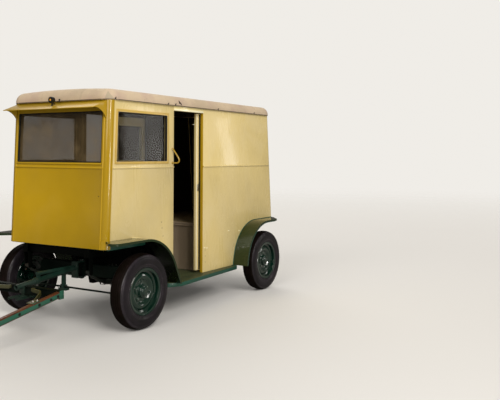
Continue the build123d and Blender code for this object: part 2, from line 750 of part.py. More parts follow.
drawbar += block((collar_x[0] - 20, collar_x[0] + 15), (-8, 8), (tube_z(collar_x[0]), brace_bar_z))
drawbar += block(eye_x, (-eye_half, eye_half), (bar_z - eye_half, tube_z(bar_x) - 15))
drawbar -= on_tube(tube_r - tube_wall, fork_x[1] + 2, beyond)
drawbar += rod_z_axis(pivot_r, fork_z[0] - 18, fork_z[1] + 6, 0, 0)
drawbar += rod_z_axis(boss_r, fork_z[0] - 14, fork_z[0] + 1, 0, 0)
drawbar += rod_z_axis(boss_r, fork_z[1] - 1, fork_z[1] + 10, 0, 0)
for y in (-arm_y, arm_y):
    drawbar += rod_z_axis(pin_r, arm_z[0], pin_top, arm_x, y) + rod_z_axis(12, *nut_z, arm_x, y)
neck_r = 14
drawbar -= rod_y(neck_r + running, -100, 100, bar_x, bar_z)

# hitch under the drawbar's end: two flat bars with a hole across them
hitch_z = (bar_z - 76, bar_z - 52)
hitch_y = (46, 54)
hitch_x = (bar_x - 16, bar_x + 150)
hitch_hole_r = 9
hitch_hole_x = hitch_x[1] - 20
hitch_hole_z = sum(hitch_z) / 2
hitch_half = (hitch_z[1] - hitch_z[0]) / 2
drawbar += block((hitch_x[0], bar_x + 16), (-20, 20), (hitch_z[0], bar_z - eye_half))
drawbar += block((hitch_x[0], bar_x + 16), (-hitch_y[1], hitch_y[1]), hitch_z)
for side in (-1, 1):
    bar_side = (side * hitch_y[0], side * hitch_y[1])
    hitch = block((hitch_x[0], hitch_hole_x), bar_side, hitch_z)
    drawbar += hitch + rod_y(hitch_half, *bar_side, hitch_hole_x, hitch_hole_z)
nodes["drawbar"] = drawbar - rod_y(hitch_hole_r, -100, 100, hitch_hole_x, hitch_hole_z)

# Shafts
# each pole's sections: x, y, half height, half width
pole_sections = (
    (bar_x + 25, shaft_y, 30, 22),
    (bar_x + 780, shaft_y, 30, 22),
    (shaft_tip_x - 595, shaft_y - 22, 25, 19),
    (shaft_tip_x, shaft_y - 46, 18, 14),
)
pole_root = (pole_sections[0][0], bar_z)
pole_half = pole_sections[0][3]
fall = (pole_root[1] - pole_sections[-1][2]) / (shaft_tip_x - pole_root[0])


def pole_z(x):
    """Height of a shaft's middle line, which falls to the floor at its tip."""
    return pole_root[1] - fall * (x - pole_root[0])


rings = []
for x, y, high, wide in pole_sections:
    ring = Plane((x, y, pole_z(x)), x_dir=(0, 1, 0), z_dir=(1, 0, 0))
    rings.append(ring * RectangleRounded(2 * wide, 2 * high, 0.45 * wide))
nodes["shaft_poles"] = loft(rings, ruled=True)

# crossbar between the shafts, a channel open in front on each side of its neck
bar_half = 25
bar_high = 38
bar_end = shaft_y + pole_half
bar_side_x = (bar_x - bar_half, bar_x + bar_half)
gear = rod_y(neck_r, -40, 40, bar_x, bar_z)
for side in (-1, 1):
    ends = (side * (eye_half + 6), side * bar_end)
    half_bar = block(bar_side_x, ends, (bar_z - bar_high, bar_z + bar_high))
    pocket_y = (side * (eye_half + 12), side * (shaft_y - 40))
    gear += half_bar - block((bar_x + 8, bar_x + 100), pocket_y, (bar_z - bar_high + 8, bar_z + bar_high - 8))

# flat strap along each shaft, its rear end rounded over the crossbar's end
strap_t = 5
strap_half = 18
strap_end_x = bar_x + 800
strap = outline(
    (bar_x, bar_z + strap_half + 4),
    (strap_end_x, pole_z(strap_end_x) + strap_half),
    (strap_end_x, pole_z(strap_end_x) - strap_half),
    (bar_x, bar_z - strap_half + 4),
)
strap = plate_y(strap, bar_end, bar_end + strap_t)
strap += rod_y(strap_half, bar_end, bar_end + strap_t, bar_x, bar_z + 4)

# bent flat brace, upright on its edge, from the crossbar to a foot on top of each shaft
brace_t = 10
brace_h = 34
brace_rise = 18
foot_t = 6
foot_x = (bar_x + 246, bar_x + 326)
foot_y = (shaft_y - 52, shaft_y + pole_half)
brace_points = [
    (x, y, pole_z(x) + brace_rise)
    for x, y in (
        (bar_x + bar_half + 18, 150),
        (bar_x + bar_half + 40, 290),
        (foot_x[0] + 9, shaft_y - 37),
    )
]
brace_path = FilletPolyline(*brace_points, radius=75)
brace_up = (sin(atan(fall)), 0, cos(atan(fall)))
brace_end = Plane(brace_path @ 0, x_dir=brace_up, z_dir=brace_path % 0)
brace = sweep(brace_end * Rectangle(brace_h, brace_t), brace_path)
tab_z = pole_z(bar_x + bar_half) + brace_rise
brace += block((bar_x + bar_half, bar_x + bar_half + 24), (142, 166), (tab_z - 14, tab_z + 14))
pole_top = pole_sections[0][2] + running
foot = outline(
    (foot_x[0], pole_z(foot_x[0]) + pole_top),
    (foot_x[1], pole_z(foot_x[1]) + pole_top),
    (foot_x[1], pole_z(foot_x[1]) + pole_top + foot_t),
    (foot_x[0], pole_z(foot_x[0]) + pole_top + foot_t),
)
brace += plate_y(foot, *foot_y)
gear += strap + other_side(strap) + brace + other_side(brace)
nodes["shaft_gear"] = gear

# Both sides, placed about the middle of the wagon
mirrored_nodes = (
    "side_front", "side_rear", "door", "door_glass", "knuckle", "tie_rod",
    "tyre_front", "tyre_rear", "wheel_front", "wheel_rear",
)
for name in mirrored_nodes:
    nodes[f"{name}_right"] = other_side(nodes[f"{name}_left"])
paired = ("side_glass", "door_headers", "fenders_front", "fenders_rear", "steps", "grab_handles", "shaft_poles")
for name in paired:
    nodes[name] = [nodes[name], other_side(nodes[name])]
nodes["leaf_springs"] += [other_side(s) for s in nodes["leaf_springs"]]

whole = {name: Compound(shape if isinstance(shape, list) else [shape]) for name, shape in nodes.items()}
bounds = Compound(list(whole.values())).bounding_box()
origin_x = (bounds.min.X + bounds.max.X) / 2
os.makedirs("parts", exist_ok=True)
for name, shape in whole.items():
    export_step(Pos(-origin_x, 0, -bounds.min.Z) * shape, f"parts/{name}.step")
print("origin_x", round(origin_x, 3), "foot", round(bounds.min.Z, 3), "size", bounds.size)
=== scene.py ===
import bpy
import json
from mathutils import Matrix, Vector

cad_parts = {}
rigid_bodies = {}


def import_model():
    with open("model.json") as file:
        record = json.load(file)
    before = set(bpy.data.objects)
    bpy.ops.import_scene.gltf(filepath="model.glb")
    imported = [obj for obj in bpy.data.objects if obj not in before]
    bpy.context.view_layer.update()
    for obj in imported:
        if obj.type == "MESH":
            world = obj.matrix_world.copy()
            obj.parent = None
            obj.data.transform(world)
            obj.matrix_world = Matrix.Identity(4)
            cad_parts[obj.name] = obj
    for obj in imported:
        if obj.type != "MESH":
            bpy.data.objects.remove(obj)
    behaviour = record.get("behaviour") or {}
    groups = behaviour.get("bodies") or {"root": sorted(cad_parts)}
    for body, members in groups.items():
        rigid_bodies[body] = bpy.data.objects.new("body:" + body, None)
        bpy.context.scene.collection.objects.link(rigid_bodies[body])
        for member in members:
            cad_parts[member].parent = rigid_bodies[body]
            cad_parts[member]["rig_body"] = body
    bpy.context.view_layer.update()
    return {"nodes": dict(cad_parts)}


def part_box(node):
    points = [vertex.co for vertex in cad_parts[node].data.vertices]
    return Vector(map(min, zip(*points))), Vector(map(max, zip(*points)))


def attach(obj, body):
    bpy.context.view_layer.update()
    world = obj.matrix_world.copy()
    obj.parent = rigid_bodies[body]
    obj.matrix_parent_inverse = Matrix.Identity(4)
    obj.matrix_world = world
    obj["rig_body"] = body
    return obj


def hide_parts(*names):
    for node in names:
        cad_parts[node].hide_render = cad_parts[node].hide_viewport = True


bl_info = {
    "name": "Milk wagon dressing",
    "version": (1, 1, 0),
    "blender": (4, 5, 0),
    "location": "View3D > Sidebar > Wagon",
    "description": "Builds the paint, tyres, trim and hardware of a horse-drawn milk wagon round its frame",
    "category": "Object",
}

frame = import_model()

import json
from math import cos, pi, radians, sin

import bmesh
import bpy
from bpy.props import FloatProperty, FloatVectorProperty, IntProperty, PointerProperty
from mathutils import Matrix, Vector
from mathutils.bvhtree import BVHTree

MM = 0.001
SIDES = (("left", 1), ("right", -1))
ENDS = ("front", "rear")


def centre(node):
    low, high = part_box(node)
    return (low + high) / 2


# Places that the pieces are set out from
FRONT_X = centre("tyre_front_left").x
TYRE_R = (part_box("tyre_front_left")[1].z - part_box("tyre_front_left")[0].z) / 2
TYRE_HALF = (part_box("tyre_front_left")[1].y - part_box("tyre_front_left")[0].y) / 2
FRONT_FOOT = (360, 770)
FRONT_HEAD = (301, 2143)
LEAN = (FRONT_FOOT[0] - FRONT_HEAD[0]) / (FRONT_HEAD[1] - FRONT_FOOT[1])
HALF_WIDTH = 645
REAR_AXLE = -2305
HUB_Z = 356
# the rest in millimetres too: the belt, the doorway's edges, its header, the windows' heights, the springs' middle
BELT_Z = 1513
DOORWAY = (-1179, -651)
HEADER_Z = 2096
SCREEN_Z = (1562, 2040)
WINDOW_Z = (1573, 2037)
SPRING_Y = 405


def at(x, y, z):
    """A point given in millimetres from the front axle, the middle line and the floor."""
    return Vector((x * MM + FRONT_X, y * MM, z * MM))


def by(x, y, z):
    """A step given in millimetres."""
    return Vector((x * MM, y * MM, z * MM))


def front_x(z):
    """How far forward the leaning front stands at a height, in millimetres."""
    (x0, z0), (x1, z1) = FRONT_FOOT, FRONT_HEAD
    return x0 + (x1 - x0) * (z - z0) / (z1 - z0)


# Shader maths as Python expressions


class Socket:
    """A shader value. Arithmetic on it adds the Math nodes it needs."""

    def __init__(self, finish, link):
        self.finish, self.link = finish, link

    def __add__(self, other):
        return self.finish.math("ADD", self, other)

    def __sub__(self, other):
        return self.finish.math("SUBTRACT", self, other)

    def __mul__(self, other):
        return self.finish.math("MULTIPLY", self, other)

    def __rsub__(self, other):
        return self.finish.math("SUBTRACT", other, self)

    __radd__ = __add__
    __rmul__ = __mul__


class Shading:
    """The node tree of a material or of the world, emptied and ready to be filled."""

    def __init__(self, owner):
        owner.use_nodes = True
        self.tree = owner.node_tree
        self.tree.nodes.clear()

    def node(self, kind, settings=None, output=0, **inputs):
        """Adds a node of that kind, sets it up, then fills its sockets with values or links."""
        made = self.tree.nodes.new(kind)
        for key, value in (settings or {}).items():
            setattr(made, key, value)
        for key, value in inputs.items():
            slot = made.inputs[int(key[1:])] if key[0] == "_" else made.inputs[key.replace("_", " ")]
            if isinstance(value, Socket):
                self.tree.links.new(value.link, slot)
            else:
                slot.default_value = value
        return Socket(self, made.outputs[output])

    def math(self, operation, a, b=0.0, clamp=False):
        return self.node("ShaderNodeMath", {"operation": operation, "use_clamp": clamp}, _0=a, _1=b)

    def blend(self, share, low, high):
        """A shader between two shaders."""
        return self.node("ShaderNodeMixShader", {}, _0=share, _1=low, _2=high)

    def close(self, shader, kind="ShaderNodeOutputMaterial"):
        """Links the finished shader to the tree's output."""
        out = self.tree.nodes.new(kind)
        self.tree.links.new(shader.link, out.inputs["Surface"])


class Finish(Shading):
    """One material in the making, with the patterns that paint, wood and rubber share."""

    def __init__(self, name):
        self.material = bpy.data.materials.new(name)
        super().__init__(self.material)
        self.place = self.node("ShaderNodeTexCoord", output="Object")

    def clamp(self, value):
        return self.math("ADD", value, 0.0, clamp=True)

    def mix(self, low, high, share):
        """A colour between two colours."""
        low, high = [c if isinstance(c, Socket) else (*c, 1) for c in (low, high)]
        return self.node("ShaderNodeMix", {"data_type": "RGBA"}, 2, _0=share, _6=low, _7=high)

    def scaled(self, x=1, y=1, z=1):
        """The object's own coordinates, stretched along each axis."""
        return self.node("ShaderNodeMapping", Vector=self.place, Scale=(x, y, z))

    def noise(self, scale, detail=4.0, rough=0.55, over=None, twist=0.0):
        inputs = {"Vector": over or self.place, "Scale": scale, "Detail": detail, "Roughness": rough}
        return self.node("ShaderNodeTexNoise", {}, "Fac", Distortion=twist, **inputs)

    def ramp(self, value, low, high):
        """0 up to low, 1 from high, even between."""
        settings = {"interpolation_type": "SMOOTHSTEP"}
        return self.node("ShaderNodeMapRange", settings, Value=value, _1=low, _2=high, _3=0.0, _4=1.0)

    def bump(self, height, strength=0.3, distance=0.001, after=None):
        inputs = {"Height": height, "Strength": strength, "Distance": distance}
        if after:
            inputs["Normal"] = after
        return self.node("ShaderNodeBump", {}, **inputs)

    def axis(self, letter):
        return self.node("ShaderNodeSeparateXYZ", {}, letter, Vector=self.place)

    def surface(self, **inputs):
        self.close(self.node("ShaderNodeBsdfPrincipled", {}, **inputs))
        return self.material


def enamel(
    name, colour, rough=0.36, age=1.0, dirt=(0.13, 0.09, 0.045), coat=0.15, low=0.2, shine=0.4, chalk=0.3, shaded_nose=None
):
    """Brushed coach enamel: mottled, a little chalky, streaked, dirty near the ground and pitted.

    The last argument, when given, is a second and deeper colour: a painted shade that the paint turns to where it meets
    the leaning front."""
    f = Finish(name)
    broad = f.noise(1.7, 5, 0.6)
    runs = f.noise(4.5, 6, 0.65, f.scaled(1, 1, 0.22), 1.2)
    fine = f.noise(160, 3, 0.6)
    shade = [c * (1 - 0.14 * age) for c in colour]
    pale = [c + (0.85 - c) * 0.22 * age for c in colour]
    base = f.mix(shade, colour, f.ramp(broad, 0.3, 0.62))
    clouds = f.noise(1.5, 3, 0.5, f.scaled(1, 1, 0.8), 0.8)
    base = f.mix(base, pale, f.clamp(f.ramp(clouds, 0.42, 0.66) * 0.8 + f.ramp(runs, 0.5, 0.74) * 0.15) * chalk)
    # painted shade: towards the leaning front the paint turns to the deeper second colour, as the front stands in shade
    if shaded_nose:
        forward = f.axis("X") + f.axis("Z") * LEAN
        front = FRONT_X + (FRONT_FOOT[0] + FRONT_FOOT[1] * LEAN) * MM
        base = f.mix(base, shaded_nose, f.ramp(forward, front - 0.064, front - 0.05))
    grime = f.ramp(f.axis("Z"), low + 0.5, low) * f.ramp(runs, 0.35, 0.75)
    base = f.mix(base, dirt, f.clamp(grime * 0.45 * age))
    specks = f.ramp(f.noise(75, 2, 0.5), 0.70, 0.75) * f.ramp(broad, 0.45, 0.6)
    base = f.mix(base, dirt, specks * 0.5 * age)
    gloss = f.clamp(rough + f.ramp(runs, 0.4, 0.75) * 0.14 * age + grime * 0.3)
    waves = f.bump(f.noise(2.6, 2, 0.4), 0.3, 0.006)
    skin = f.bump(fine, 0.07, 0.0006, waves)
    return f.surface(
        Base_Color=base, Roughness=gloss, Normal=skin, Coat_Weight=coat, Coat_Roughness=0.1, Specular_IOR_Level=shine
    )


def canvas(name, colour):
    """Painted roof canvas: a fine weave, blotches and grey dust in the folds."""
    f = Finish(name)
    broad = f.noise(2.4, 6, 0.62)
    weave_x = f.node("ShaderNodeTexWave", {"bands_direction": "X"}, "Fac", Vector=f.place, Scale=140.0)
    weave_y = f.node("ShaderNodeTexWave", {"bands_direction": "Y"}, "Fac", Vector=f.place, Scale=140.0)
    base = f.mix([c * 0.84 for c in colour], colour, f.ramp(broad, 0.32, 0.62))
    base = f.mix(base, (0.47, 0.33, 0.27), f.ramp(f.noise(3.1, 4, 0.6, f.scaled(1, 1.4, 1)), 0.46, 0.66) * 0.55)
    stain = f.ramp(f.noise(7, 6, 0.7, f.scaled(1, 1, 0.4), 0.8), 0.58, 0.72)
    base = f.mix(base, (0.34, 0.27, 0.2), stain * 0.3)
    spots = f.ramp(f.noise(46, 3, 0.5), 0.66, 0.73)
    base = f.mix(base, (0.2, 0.16, 0.12), spots * 0.4)
    cloth = f.bump(weave_x + weave_y, 0.25, 0.0006, f.bump(broad, 0.4, 0.006))
    return f.surface(Base_Color=base, Roughness=f.clamp(0.62 + stain * 0.2), Normal=cloth, Specular_IOR_Level=0.3)


def boards(name, colour, grain_axis="X", worn=(0.33, 0.28, 0.2), share=0.5, plank=0.0):
    """Painted boards, their paint worn through along the grain."""
    f = Finish(name)
    stretch = {"X": (0.25, 3.5, 3.5), "Y": (3.5, 0.25, 3.5), "Z": (3.5, 3.5, 0.25)}[grain_axis]
    over = f.scaled(*stretch)
    grain = f.noise(16, 8, 0.7, over, 0.6)
    wear = f.ramp(f.noise(3, 6, 0.7, over), 0.45, 0.66) * f.ramp(grain, 0.35, 0.6)
    base = f.mix(colour, worn, wear * share)
    base = f.mix(base, [c * 0.45 for c in colour], f.ramp(grain, 0.62, 0.7) * 0.6)
    height = grain * 0.4
    if plank:
        joint = f.math("PINGPONG", f.axis("Y"), plank / 2)
        gap = f.ramp(joint, 0.0035, 0.0015)
        base = f.mix(base, (0.012, 0.01, 0.008), gap)
        height = height - gap * 2.0
    return f.surface(
        Base_Color=base, Roughness=f.clamp(0.5 + wear * 0.3), Normal=f.bump(height, 0.5, 0.0015), Specular_IOR_Level=0.3
    )


def hardwood(name, colour, dark):
    """Oiled ash with long open grain and handled, darker patches."""
    f = Finish(name)
    grain = f.noise(22, 9, 0.72, f.scaled(0.35, 6, 6), 0.8)
    broad = f.noise(2.2, 4, 0.6)
    base = f.mix(dark, colour, f.ramp(grain, 0.36, 0.62))
    base = f.mix(base, dark, f.ramp(broad, 0.5, 0.75) * 0.5)
    lines = f.ramp(grain, 0.3, 0.36)
    return f.surface(
        Base_Color=base, Roughness=f.clamp(0.38 + f.ramp(broad, 0.4, 0.7) * 0.2),
        Normal=f.bump(lines, 0.4, 0.0008), Coat_Weight=0.15, Coat_Roughness=0.3,
    )


def rubber(name, colour, shine=0.14, rough=0.38):
    """Tyre rubber: a mottled bloom and some dust."""
    f = Finish(name)
    broad = f.noise(9, 6, 0.65)
    bloom = (colour[0] * 1.6 + 0.002, colour[1] * 1.5 + 0.001, colour[2] * 1.7 + 0.002)
    base = f.mix(colour, bloom, f.ramp(broad, 0.35, 0.7))
    dust = f.ramp(f.noise(28, 5, 0.7), 0.55, 0.75)
    base = f.mix(base, (0.06, 0.045, 0.033), dust * 0.12)
    return f.surface(
        Base_Color=base, Roughness=f.clamp(rough + dust * 0.25), Normal=f.bump(f.noise(220, 3), 0.12, 0.0005),
        Specular_IOR_Level=shine,
    )


def metal(name, colour, rough=0.4, metallic=0.9, rust=0.3):
    """Bare or blackened steel with rust blooming in patches."""
    f = Finish(name)
    patches = f.ramp(f.noise(14, 7, 0.7), 0.52, 0.68) * rust
    base = f.mix(colour, (0.16, 0.06, 0.025), patches)
    grit = f.noise(180, 4)
    return f.surface(
        Base_Color=base, Metallic=f.clamp(metallic - patches), Roughness=f.clamp(rough + patches * 0.5),
        Normal=f.bump(grit, 0.15, 0.0006),
    )


def pane(name, tint, cover):
    """Old plate glass with a film of dust, dark against the inside."""
    f = Finish(name)
    film = f.ramp(f.noise(3, 6, 0.7), 0.4, 0.8)
    base = f.mix(tint, [c * 2.6 + 0.02 for c in tint], film)
    return f.surface(
        Base_Color=base, Roughness=f.clamp(0.04 + film * 0.08), Alpha=f.clamp(cover + film * 0.12),
        Specular_IOR_Level=0.5,
    )


# Shapes


def join(bm, part):
    """Adds a finished part to the piece and frees it."""
    mesh = bpy.data.meshes.new("part")
    part.to_mesh(mesh)
    part.free()
    bm.from_mesh(mesh)
    bpy.data.meshes.remove(mesh)


def make_object(name, bm, finish, body, slot, smooth=35.0, stands_for=()):
    """Turns a bmesh into a finished piece that rides on a body."""
    mesh = bpy.data.meshes.new(name)
    bm.to_mesh(mesh)
    bm.free()
    piece = bpy.data.objects.new(name, mesh)
    bpy.context.scene.collection.objects.link(piece)
    for one in finish if isinstance(finish, (list, tuple)) else [finish]:
        mesh.materials.append(finishes[one])
    mesh.polygons.foreach_set("use_smooth", [True] * len(mesh.polygons))
    mesh.set_sharp_from_angle(angle=radians(smooth))
    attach(piece, body)
    if stands_for:
        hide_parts(*stands_for)
    return piece


def bevel(bm, corners, width, segments=2, affect="EDGES"):
    bmesh.ops.bevel(
        bm, geom=corners, offset=width, offset_type="OFFSET", segments=segments, profile=0.5, affect=affect,
        material=-1, clamp_overlap=True,
    )


def soften(bm, width, angle=38):
    """Rounds each corner that is sharper than the angle."""
    bevel(bm, [e for e in bm.edges if len(e.link_faces) == 2 and e.calc_face_angle(0) > radians(angle)], width)


def dress(node, finish, slot, edge=0.0012, zones=(), smooth=32.0, shape=None):
    """A CAD piece with its triangles joined to whole faces, its corners softened and its zones painted."""
    source = frame["nodes"][node]
    bm = bmesh.new()
    bm.from_mesh(source.data)
    bmesh.ops.remove_doubles(bm, verts=bm.verts, dist=1e-5)
    bmesh.ops.dissolve_limit(bm, angle_limit=radians(0.6), verts=bm.verts, edges=bm.edges)
    if shape:
        shape(bm)
    for face in bm.faces:
        face.material_index = 0
        middle = face.calc_center_median()
        spot = Vector(((middle.x - FRONT_X) / MM, middle.y / MM, middle.z / MM))
        for number, (_, test) in enumerate(zones, 1):
            if test(spot, face.normal):
                face.material_index = number
    if edge:
        soften(bm, edge)
    bmesh.ops.triangulate(bm, faces=[f for f in bm.faces if len(f.verts) > 4])
    names = [finish, *(zone for zone, _ in zones)]
    return make_object(f"{node}_shown", bm, names, source["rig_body"], slot, smooth, (node,))


def add_spun(bm, points, middle, axis=(0, 1, 0), steps=96, soft=0.0, closed=True):
    """Spins a section, given as (reach along the axis, radius) in millimetres, round an axis."""
    part = bmesh.new()
    axis, middle = Vector(axis), Vector(middle)
    arm = Vector((0, 0, 1)) if abs(axis.z) < 0.9 else Vector((1, 0, 0))
    ring = [part.verts.new(middle + axis * (reach * MM) + arm * (radius * MM)) for reach, radius in points]
    pairs = list(zip(ring, ring[1:])) + ([(ring[-1], ring[0])] if closed else [])
    for pair in pairs:
        part.edges.new(pair)
    if soft:
        bevel(part, [v for v in ring if (v.co - middle).cross(axis).length > 1e-4], soft * MM, affect="VERTICES")
    bmesh.ops.spin(
        part, geom=part.verts[:] + part.edges[:], cent=middle, axis=axis, angle=2 * pi, steps=steps,
        use_merge=True, use_duplicate=False,
    )
    bmesh.ops.remove_doubles(part, verts=part.verts, dist=1e-6)
    bmesh.ops.recalc_face_normals(part, faces=part.faces)
    join(bm, part)


def add_box(bm, low, high, soft):
    """A block between two corners, its edges rounded."""
    part = bmesh.new()
    place = Matrix.Translation((low + high) / 2)
    bmesh.ops.create_cube(part, size=1.0, matrix=place @ Matrix.Diagonal((*(high - low), 1)))
    soften(part, soft * MM)
    join(bm, part)


def facing(axis):
    """Turns +Z to point along an axis."""
    return Vector((0, 0, 1)).rotation_difference(Vector(axis)).to_matrix().to_4x4()


def add_disc(bm, spot, axis, r, h, sides=6, top=0.94, soft=0.12):
    """A short bar of a few sides that stands out along the axis, its end softened."""
    part = bmesh.new()
    axis = Vector(axis).normalized()
    middle = Matrix.Translation(spot + axis * (h * MM / 2))
    bmesh.ops.create_cone(
        part, cap_ends=True, segments=sides, radius1=r * MM, radius2=r * top * MM, depth=h * MM,
        matrix=middle @ facing(axis),
    )
    bevel(part, [e for e in part.edges if all((v.co - spot).dot(axis) > h * MM * 0.9 for v in e.verts)], r * soft * MM)
    join(bm, part)


def add_bolt(bm, spot, axis, r=9, h=7):
    """A hexagon head or nut on its washer, with the end of its stud."""
    axis = Vector(axis).normalized()
    add_disc(bm, spot, axis, r * 1.45, 2, 20, 1, 0.05)
    add_disc(bm, spot + axis * (1.8 * MM), axis, r, h)
    add_disc(bm, spot + axis * ((h + 1) * MM), axis, r * 0.5, h * 0.55, 12)


def add_rivet(bm, spot, axis, r=5):
    """A low round head."""
    part = bmesh.new()
    made = bmesh.ops.create_uvsphere(part, u_segments=12, v_segments=6, radius=r * MM)
    flat = Matrix.Translation(spot) @ facing(Vector(axis).normalized()) @ Matrix.Diagonal((1, 1, 0.5, 1))
    bmesh.ops.transform(part, matrix=flat, verts=made["verts"])
    join(bm, part)


def add_bar(bm, points, r, order=3, sides=2):
    """A round bar along a smooth line through the points' frame; order 2 keeps the line's corners."""
    curve = bpy.data.curves.new("bar", "CURVE")
    curve.dimensions = "3D"
    curve.bevel_depth = r * MM
    curve.bevel_resolution = sides
    curve.use_fill_caps = True
    curve.resolution_u = 8 if order > 2 else 1
    spline = curve.splines.new("NURBS")
    spline.points.add(len(points) - 1)
    for point, spot in zip(spline.points, points):
        point.co = (*spot, 1)
    spline.order_u = order
    spline.use_endpoint_u = True
    holder = bpy.data.objects.new("bar", curve)
    mesh = bpy.data.meshes.new_from_object(holder)
    part = bmesh.new()
    part.from_mesh(mesh)
    bmesh.ops.remove_doubles(part, verts=part.verts, dist=1e-6)
    bmesh.ops.recalc_face_normals(part, faces=part.faces)
    bpy.data.objects.remove(holder)
    bpy.data.curves.remove(curve)
    bpy.data.meshes.remove(mesh)
    join(bm, part)


def pull(part, made, way):
    """Moves what an extrusion has made."""
    bmesh.ops.translate(part, verts=[g for g in made["geom"] if isinstance(g, bmesh.types.BMVert)], vec=way)


def ribbon(points, across):
    """A band of faces along a line of points: across is its width."""
    part = bmesh.new()
    line = [part.verts.new(p) for p in points]
    edges = [part.edges.new(pair) for pair in zip(line, line[1:])]
    pull(part, bmesh.ops.extrude_edge_only(part, edges=edges), across)
    return part


def add_rim(bm, corners, radius, width, depth, soft=0.0):
    """A flat frame just inside an outline with rounded corners; depth is its thickness and direction."""
    part = bmesh.new()
    ring = [part.verts.new(c) for c in corners]
    part.faces.new(ring)
    if radius:
        bevel(part, ring, radius * MM, 5, "VERTICES")
    part.faces.ensure_lookup_table()
    sheet = part.faces[0]
    bmesh.ops.inset_individual(part, faces=[sheet], thickness=width * MM, depth=0.0, use_even_offset=True)
    bmesh.ops.delete(part, geom=[sheet], context="FACES_ONLY")
    pull(part, bmesh.ops.extrude_face_region(part, geom=part.faces[:]), depth)
    bmesh.ops.recalc_face_normals(part, faces=part.faces)
    if soft:
        soften(part, soft * MM, 60)
    join(bm, part)


def add_strip(bm, points, across, out, soft=0.0):
    """A flat strip along a line of points: across is its width, out its thickness."""
    part = ribbon(points, across)
    pull(part, bmesh.ops.extrude_face_region(part, geom=part.faces[:]), out)
    bmesh.ops.recalc_face_normals(part, faces=part.faces)
    if soft:
        soften(part, soft * MM, 50)
    join(bm, part)


def add_sheet(bm, points, across, thickness):
    """A bent sheet along a line of points: across is its width."""
    part = ribbon(points, across)
    bmesh.ops.solidify(part, geom=part.faces[:], thickness=thickness * MM)
    bmesh.ops.recalc_face_normals(part, faces=part.faces)
    join(bm, part)


def skin_finder(node):
    """Gives a call that moves a point on to a CAD piece's surface, lifted by some millimetres."""
    source = bmesh.new()
    source.from_mesh(frame["nodes"][node].data)
    tree = BVHTree.FromBMesh(source)
    source.free()
    heart = centre(node)

    def on_skin(spot, lift=0.0):
        out = (spot - heart).normalized()
        place, _, _, _ = tree.ray_cast(spot + out, -out)
        return place + out * (lift * MM)

    return on_skin


def add_patch(bm, corners, on_skin, steps=10):
    """A thin three-cornered patch that lies on a skin: left foot, top and right foot."""
    part = bmesh.new()
    left, top, right = corners
    lines = []
    for i in range(steps + 1):
        a, b = top.lerp(left, i / steps), top.lerp(right, i / steps)
        lines.append([part.verts.new(on_skin(a.lerp(b, j / max(i, 1)), 0.8)) for j in range(i + 1)])
    for above, below in zip(lines, lines[1:]):
        for j in range(len(above)):
            part.faces.new((above[j], below[j], below[j + 1]))
            if j:
                part.faces.new((above[j - 1], below[j], above[j]))
    bmesh.ops.recalc_face_normals(part, faces=part.faces)
    bmesh.ops.solidify(part, geom=part.faces[:], thickness=2.5 * MM)
    bmesh.ops.recalc_face_normals(part, faces=part.faces)
    join(bm, part)


# Settings that a user would change


class WagonColours(bpy.types.PropertyGroup):
    """The wagon's paints."""

    straw: FloatVectorProperty(
        name="Side enamel", description="Pale straw of the sides", subtype="COLOR",
        default=(0.695, 0.548, 0.233), min=0, max=1,
    )
    # The front's enamel is painted shade: the same paint as the sides, made deeper where the front stands in shade.
    ochre: FloatVectorProperty(
        name="Front enamel", description="Deeper straw of the front", subtype="COLOR",
        default=(0.465, 0.285, 0.003), min=0, max=1,
    )
    green: FloatVectorProperty(
        name="Wheel green", description="Deep green of the wheels", subtype="COLOR",
        default=(0.0012, 0.0170, 0.0100), min=0, max=1,
    )
    fender_green: FloatVectorProperty(
        name="Fender green", description="Mossy green of the fenders", subtype="COLOR",
        default=(0.007, 0.020, 0.001), min=0, max=1,
    )
    gear_green: FloatVectorProperty(
        name="Chassis green", description="Dark green of the running gear", subtype="COLOR",
        default=(0.0014, 0.0050, 0.0030), min=0, max=1,
    )
    teal: FloatVectorProperty(
        name="Edge teal", description="Teal of the shafts' straps and the fenders' edges", subtype="COLOR",
        default=(0.011, 0.066, 0.043), min=0, max=1,
    )
    canvas: FloatVectorProperty(
        name="Roof canvas", description="Painted canvas of the roof", subtype="COLOR",
        default=(0.57, 0.45, 0.31), min=0, max=1,
    )
    rubber: FloatVectorProperty(
        name="Tyre rubber", description="Black of the tyres", subtype="COLOR",
        default=(0.0085, 0.0074, 0.0082), min=0, max=1,
    )


class WagonSizes(bpy.types.PropertyGroup):
    """Sizes of the added trim."""

    tread_ribs: IntProperty(name="Tread ribs", description="Ribs across a tyre's tread", default=5, min=3, max=9)
    groove: FloatProperty(
        name="Tread groove", description="Depth of a tread groove", subtype="DISTANCE",
        default=0.005, min=0.001, max=0.01,
    )
    gasket: FloatProperty(
        name="Window gasket", description="Width of the black rubber round each pane", subtype="DISTANCE",
        default=0.008, min=0.004, max=0.03,
    )
    key: FloatProperty(
        name="Main lamp", description="Strength of the soft lamp on the left side", default=1.78, min=0, max=10
    )


finishes = {}


def colours():
    return bpy.context.scene.wagon_colours


def sizes():
    return bpy.context.scene.wagon_sizes


